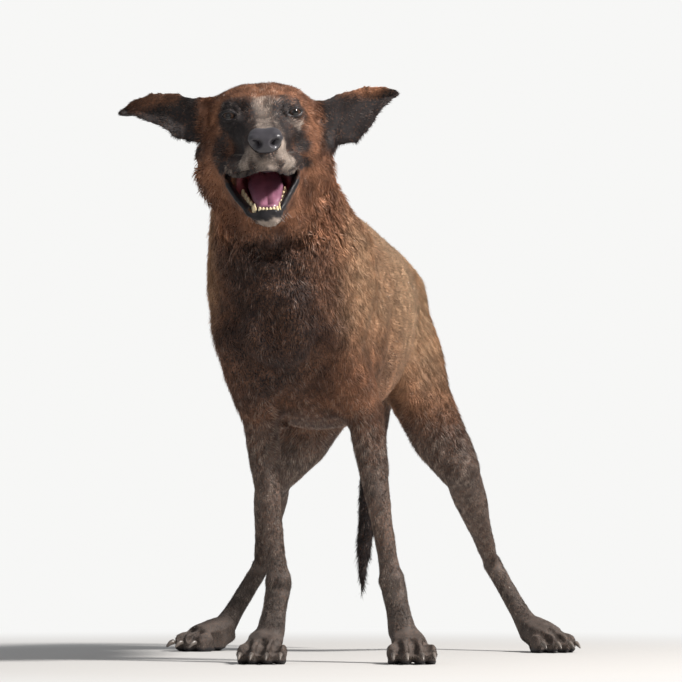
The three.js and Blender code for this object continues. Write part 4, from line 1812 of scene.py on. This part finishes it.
def blades(name, tufts, rings):
    """One mesh of closed tufts; `tufts` holds arrays with a row for each tuft."""
    points = blade_points(tufts, rings)
    count, size = points.shape[:2]
    corner = np.arange(count)[:, None, None] * size + blade_faces(rings)
    corner = corner.reshape(-1).astype(np.int32)
    mesh = bpy.data.meshes.new(name)
    mesh.vertices.add(count * size)
    mesh.vertices.foreach_set("co", points.astype(np.float32).ravel())
    mesh.loops.add(len(corner))
    mesh.loops.foreach_set("vertex_index", corner)
    mesh.polygons.add(len(corner) // 3)
    mesh.polygons.foreach_set("loop_start", np.arange(0, len(corner), 3, dtype=np.int32))
    mesh.update(calc_edges=True)
    up = np.repeat(np.linspace(0, 1, rings + 1), [3] * rings + [1])
    across = np.concatenate([np.tile([-1.0, 1.0, 0.0], rings), [0.0]])
    patch = np.stack([across, up * 2 - 1], 1) * UV_PATCH
    spread = (tufts["uv"][:, None, :] + patch[None]).reshape(-1, 2)
    layer = mesh.uv_layers.new(name="OFBake")
    layer.uv.foreach_set("vector", spread[corner].astype(np.float32).ravel())
    add_colours(mesh, "marks", np.repeat(tufts["marks"], size, axis=0).T)
    add_colours(mesh, "hair", [np.tile(up, count), np.repeat(tufts["chance"], size), 0, 1])
    return smooth_faces(mesh)


# %% [markdown]
# ### Growing it
# Now every root takes its hair's length, lie and marks from the skin round it. Chance, clumps and
# ripples vary them, more on long hair than on the face. The coat is cut from nose to tail into
# pieces below a limit of triangles, and the tufts of the black legs are pieces of their own,
# recorded under the slot dark_coat, though they take the coat's one look.

# %% What the skin hands to its hair
skin_places = read(skin, "place", 3)
skin_normals = read(skin, "normal", 3)
skin_spots = local(skin_places, HEAD)
skin_marks = colours_of(skin, "marks")
skin_uv = np.empty(len(skin.loops) * 2, np.float32)
skin.uv_layers["OFBake"].uv.foreach_get("vector", skin_uv)
skin_uv = skin_uv.reshape(-1, 2)
skin_lie = comb_field(skin_places, skin_normals)
hair_length = coat_length(skin_places)
bald = smooth_step(0.25, 0.6, skin_marks[:, 3])
nose_near = np.linalg.norm((skin_spots - NOSE["centre"]) / NOSE["radii"], axis=1)
bald = np.maximum(bald, smooth_step(1.2, 1.05, nose_near))
shortest, longest = float(hair_length.min()), float(hair_length.max())
print("hair from", round(shortest, 1), "to", round(longest, 1), "mm")

# %% One growth of tufts
PIECE_LIMIT = 190_000
LEAST_SHARE = 0.02
NO_HAIR_GAP = 1e3
CLUMP_SEED, FAR_CLUMP_SEED, LENGTH_SEED, LIFT_SEED = 20, 50, 31, 41


def clumps(root):
    """A slow change of direction along each axis, the same for all the hair of a clump."""
    turns = []
    for axis in range(3):
        close = ripple(root, 0.013 + 0.001 * axis, CLUMP_SEED + axis)
        turns.append(close + 0.6 * ripple(root, 0.034, FAR_CLUMP_SEED + axis))
    return np.stack(turns, 1)


def tufts_on_skin(chosen, spacing):
    """The roots over part of the skin, and all that a blade needs to know, as arrays."""
    wanted = chosen * (1 - bald)
    gap = spacing / np.sqrt(np.maximum(wanted, LEAST_SHARE))
    corners, loops, weights = scatter(skin, np.where(wanted > LEAST_SHARE, gap, NO_HAIR_GAP))
    root = blend(skin_places, corners, weights)
    normal = unit(blend(skin_normals, corners, weights))
    length = blend(hair_length[:, None], corners, weights)[:, 0]
    lie = unit(blend(skin_lie, corners, weights))
    stray = grower.normal(0, 0.13, (len(root), 3))
    fluff = np.clip(length / 12, 0.4, 1.1)
    lie = unit(lie + 0.4 * fluff[:, None] * clumps(root) + stray)
    lie = unit(lie - (lie * normal).sum(1, keepdims=True) * normal)
    length = length * grower.uniform(0.72, 1.12, len(root))
    length = length * (1 + 0.16 * ripple(root, 0.02, LENGTH_SEED))
    width = (0.36 + 0.046 * length) * grower.uniform(0.8, 1.25, len(root)) * MM
    wave = ripple(root, 0.012, LIFT_SEED)
    lift = np.radians(22 + 9 * fluff + 10 * fluff * wave) * grower.uniform(0.75, 1.25, len(root))
    return {
        "root": root,
        "normal": normal,
        "lie": lie,
        "length": length * MM,
        "width": width,
        "lift": lift,
        "curl": lift * 0.85,
        "marks": blend(skin_marks, corners, weights),
        "uv": blend(skin_uv, loops, weights),
        # Each tuft's chance: its own random tone, plus painted light, lighter on the raised crests
        # of the lift wave.
        "chance": 0.6 * grower.random(len(root)) + 0.2 + 0.2 * np.clip(wave, -1, 1),
    }


def grow(label, slot, chosen, spacing, rings):
    """Grows tufts over part of the skin, in pieces below the limit of triangles."""
    tufts = tufts_on_skin(chosen, spacing)
    order = np.argsort(tufts["root"][:, 1])
    parts = math.ceil(len(order) * len(blade_faces(rings)) / PIECE_LIMIT)
    for number, rows in enumerate(np.array_split(order, parts)):
        part = {key: values[rows] for key, values in tufts.items()}
        keep(blades(f"coat_{label}_{number + 1}", part, rings), slot)


# %% Grow the coat
LONG_FROM = 12.5
DENSITY = 1.1
is_short = smooth_step(LONG_FROM + 1, LONG_FROM - 1, hair_length)
is_dark = smooth_step(0.4, 0.55, skin_marks[:, 0]) * smooth_step(0.36, 0.34, skin_places[:, 2])
spacing = (0.6 + 0.106 * hair_length) / math.sqrt(DENSITY)
grow("short", "coat", is_short * (1 - is_dark), spacing, 1)
grow("long", "coat", (1 - is_short) * (1 - is_dark), spacing * 1.06, 2)
grow("dark", "dark_coat", is_dark, spacing, 1)
coats = [mesh for mesh, slot, hides in pieces.values() if mesh.name.startswith("coat_")]
print("coat:", len(coats), "pieces,", sum(len(mesh.polygons) for mesh in coats), "triangles")

# %% [markdown]
# ## Looks
# The colour of this coat is never one brown: it shifts from hair to hair, and painted shade darkens
# it at the roots. The shares painted on the points pick between a few plain coat colours, and each
# tuft's own chance lightens or darkens it, partly at random and partly as painted light on the
# raised crests of its clump. Skin and tufts use the same group of nodes, so their marks can't
# part. Fine speckle and bumps come from noise in the object's own space.

# %% Colours and node groups


def colour(*srgb):
    """A colour written as screen values from 0 to 255, in the light's own scale."""
    values = [v / 255 for v in srgb]
    return tuple(v / 12.92 if v <= 0.04045 else ((v + 0.055) / 1.055) ** 2.4 for v in values)


def group(name, outputs):
    """A node group with named outputs: returns it with its nodes and its output node."""
    tree = bpy.data.node_groups.new(name, "ShaderNodeTree")
    for label, kind in outputs.items():
        tree.interface.new_socket(label, in_out="OUTPUT", socket_type=kind)
    return tree, Nodes(tree), tree.nodes.new("NodeGroupOutput")


# %% The coat's colours
COAT = {
    "brown": colour(132, 89, 67),
    "red": colour(196, 138, 104),
    # pale: partly the coat's own sandy tone, partly painted light on the top and flanks.
    "pale": colour(240, 197, 156),
    # black: the coat's own black, also laid on as painted shade on the breast, belly, the face's
    # right side and in the ears.
    "black": colour(62, 56, 56),
    "grey": colour(206, 188, 174),
    "leather": colour(34, 32, 34),
    "pink": colour(150, 84, 88),
}
# Painted shade: the roots of each tuft are darker, for the shade deep in the coat.
ROOT_SHADE_TO_TIP = (0.5, 1.16)
# Each tuft's chance is partly its own random tone, partly painted light on the raised crests of its
# clump.
HAIR_TO_HAIR_AND_CREST_LIGHT = (0.55, 1.4)
PATCH_TO_PATCH = (0.72, 1.22)


def hair_colour(nodes, black, grey, pale, chance):
    """Brown to red in patches, then paler, blacker and greyer where the marks say so; their pale
    and black hold painted light and shade.
    """
    patch = nodes.spread(nodes.noise(28, 3), 0.35, 0.65)
    fleck = nodes.noise(420, 2)
    base = nodes.mix(patch, COAT["brown"], COAT["red"])
    base = nodes.mix(nodes.math("MULTIPLY", pale, 0.85), base, COAT["pale"])
    ragged = nodes.math("ADD", black, nodes.spread(fleck, 0.3, 0.7, -0.22, 0.22))
    base = nodes.mix(nodes.spread(ragged, 0.12, 0.88), base, COAT["black"])
    frost = nodes.math("ADD", grey, nodes.spread(chance, 0, 1, -0.42, 0.42))
    return nodes.mix(nodes.spread(frost, 0.2, 0.9), base, COAT["grey"])


def hair_shade(nodes, along, chance):
    """Darker at the roots as painted shade; lighter or darker from hair to hair, partly as painted
    light on raised clumps, and from patch to patch.
    """
    shade = nodes.spread(along, 0, 1, *ROOT_SHADE_TO_TIP)
    shade = nodes.math("MULTIPLY", shade, nodes.spread(chance, 0, 1, *HAIR_TO_HAIR_AND_CREST_LIGHT))
    patches = nodes.spread(nodes.noise(75, 3), 0.3, 0.7, *PATCH_TO_PATCH)
    shade = nodes.math("MULTIPLY", shade, patches)
    level = nodes.add("CombineColor")
    for socket in level.inputs:
        nodes.join(shade, socket)
    return level.outputs[0]


def coat_group():
    outputs = {"Color": "NodeSocketColor", "Bare": "NodeSocketFloat"}
    tree, nodes, out = group("coat_colours", outputs)
    black, grey, pale, bare = nodes.channels("marks")
    # chance: each tuft's random tone, with painted light on the raised crests of its clump.
    along, chance, pink, _ = nodes.channels("hair")
    base = hair_colour(nodes, black, grey, pale, chance)
    shaded = nodes.mix(1, base, hair_shade(nodes, along, chance), blend="MULTIPLY")
    leather = nodes.mix(pink, COAT["leather"], COAT["pink"])
    nodes.join(nodes.mix(bare, shaded, leather), out.inputs["Color"])
    nodes.join(bare, out.inputs["Bare"])
    return tree


COAT_COLOURS = coat_group()
print("coat colours:", len(COAT_COLOURS.nodes), "nodes")

# %% [markdown]
# ### Skin and hair
# Hair is dull with a faint shine, and bare skin is smoother, like leather. Both read the one group
# of colours. Only the skin needs a bump: on the tufts the mesh itself gives the grain.

# %% Skin and hair
HAIR_ROUGHNESS = 0.66
BARE_ROUGHNESS = 0.42


def bump(nodes, shader, height, strength, distance):
    node = nodes.add("Bump")
    node.inputs["Strength"].default_value = strength
    node.inputs["Distance"].default_value = distance
    nodes.join(height, node.inputs["Height"])
    nodes.join(node.outputs["Normal"], shader.inputs["Normal"])


def coat_material(name, on_skin):
    made, nodes, shader = material(name, HAIR_ROUGHNESS, Specular_IOR_Level=0.22)
    look = nodes.add("Group", node_tree=COAT_COLOURS)
    nodes.join(look.outputs["Color"], shader.inputs["Base Color"])
    if on_skin:
        rough = nodes.spread(look.outputs["Bare"], 0, 1, HAIR_ROUGHNESS, BARE_ROUGHNESS)
        nodes.join(rough, shader.inputs["Roughness"])
        bump(nodes, shader, nodes.noise(700, 3), 0.35, 0.5 * MM)
    return made


# %% [markdown]
# ### Nose leather
# A dog's nose is damp black leather in fine pebbles. Rounded cells of about a millimetre give the
# pebbles as a bump, a thin clear coat gives the damp, and painted shade darkens the pits of the
# nostrils.

# %% Nose leather


def nose_material():
    made, nodes, shader = material("nose", 0.36, Coat_Weight=0.15, Coat_Roughness=0.3)
    pit_shade = nodes.channels("nose")[0]
    tone = nodes.mix(nodes.noise(60, 2), colour(44, 42, 46), colour(66, 63, 68))
    # Painted shade: the nostril pits go nearly black.
    nodes.join(nodes.mix(pit_shade, tone, colour(10, 9, 10)), shader.inputs["Base Color"])
    pebbles = nodes.add("TexVoronoi", feature="SMOOTH_F1")
    nodes.join(nodes.add("TexCoord").outputs["Object"], pebbles.inputs["Vector"])
    pebbles.inputs["Scale"].default_value = 900
    height = nodes.math("SUBTRACT", 1.0, pebbles.outputs["Distance"])
    bump(nodes, shader, height, 0.35, 0.3 * MM)
    return made


# %% [markdown]
# ### Eyes
# From the gaze's axis outward an eye is black pupil, dark amber iris, its darker edge and then the
# dull white. Rings of colour over the distance that each point keeps give them sharply, whichever
# way the eye is turned. The cornea's shine comes from a smooth clear coat.

# %% Eyes
EYE_RINGS = [
    (PUPIL, (8, 7, 7)),
    (PUPIL + 0.5, (48, 32, 23)),
    (IRIS - 0.8, (64, 44, 30)),
    (IRIS, (18, 14, 13)),
    (IRIS + 0.9, (70, 60, 57)),
]


def eye_material():
    gloss = {"Coat_Weight": 0.5, "Coat_Roughness": 0.02, "Specular_IOR_Level": 0.3}
    made, nodes, shader = material("eye", 0.08, **gloss)
    ring = nodes.add("ValToRGB")
    nodes.join(nodes.channels("eye")[0], ring.inputs["Fac"])
    stops = ring.color_ramp.elements
    for number, (off_axis, tone) in enumerate(EYE_RINGS):
        stop = stops[number] if number < len(stops) else stops.new(off_axis / 10)
        stop.position = off_axis / 10
        stop.color = (*colour(*tone), 1)
    nodes.join(ring.outputs["Color"], shader.inputs["Base Color"])
    return made


# %% [markdown]
# ### Tongue, lid rims, teeth and horn
# Wet flesh and dry horn each mix two near tones by a soft noise, with a fine bump. Flesh has a
# clear coat for its wetness; teeth and claws are smooth without one.

# %% Flesh and horn


def flesh_material(name, low, high, roughness, scale, depth):
    made, nodes, shader = material(name, roughness, Coat_Weight=0.3, Coat_Roughness=0.2)
    patches = nodes.spread(nodes.noise(scale, 3), 0.35, 0.65)
    nodes.join(nodes.mix(patches, low, high), shader.inputs["Base Color"])
    bump(nodes, shader, nodes.noise(900, 2), 0.4, depth * MM)
    return made


def horn_material(name, low, high, scale):
    made, nodes, shader = material(name, 0.34)
    patches = nodes.spread(nodes.noise(scale, 3), 0.3, 0.7)
    nodes.join(nodes.mix(patches, low, high), shader.inputs["Base Color"])
    bump(nodes, shader, nodes.noise(500, 2), 0.15, 0.2 * MM)
    return made


# %% The look of each piece
LID_TONES = (colour(34, 30, 31), colour(60, 54, 54))
TONGUE_TONES = (colour(118, 74, 94), colour(150, 100, 120))
TOOTH_TONES = (colour(222, 196, 142), colour(236, 222, 190))
CLAW_TONES = (colour(74, 68, 64), colour(122, 112, 104))
WHISKER_TONES = (colour(150, 142, 136), colour(196, 190, 184))
LOOKS = {
    "skin": coat_material("skin", True),
    "coat": coat_material("tufts", False),
    "eyeballs": eye_material(),
    "lid_rims": flesh_material("lid_rims", *LID_TONES, 0.3, 120, 0.2),
    "nose_leather": nose_material(),
    "teeth": horn_material("teeth", *TOOTH_TONES, 160),
    "tongue_flesh": flesh_material("tongue", *TONGUE_TONES, 0.44, 60, 0.4),
    "claws_horn": horn_material("claws", *CLAW_TONES, 140),
    "whiskers": horn_material("whiskers", *WHISKER_TONES, 60),
}
print("looks:", ", ".join(LOOKS))

# %% [markdown]
# ## Putting the pieces on the dog
# Every piece rides on the still model's one body, names the look it takes, and takes the place of
# the plain solids that it finishes. The skin goes last and stands for every node of flesh.

# %% Hand the pieces over
pieces["skin"] = (smooth_faces(skin), "coat", flesh)
for name, (mesh, slot, hides) in pieces.items():
    piece = new_object(name, mesh)
    mesh.materials.append(LOOKS.get(name, LOOKS["coat"]))
    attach(piece, "root")
    if hides:
        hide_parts(*hides)
print(len(pieces), "pieces on the dog")
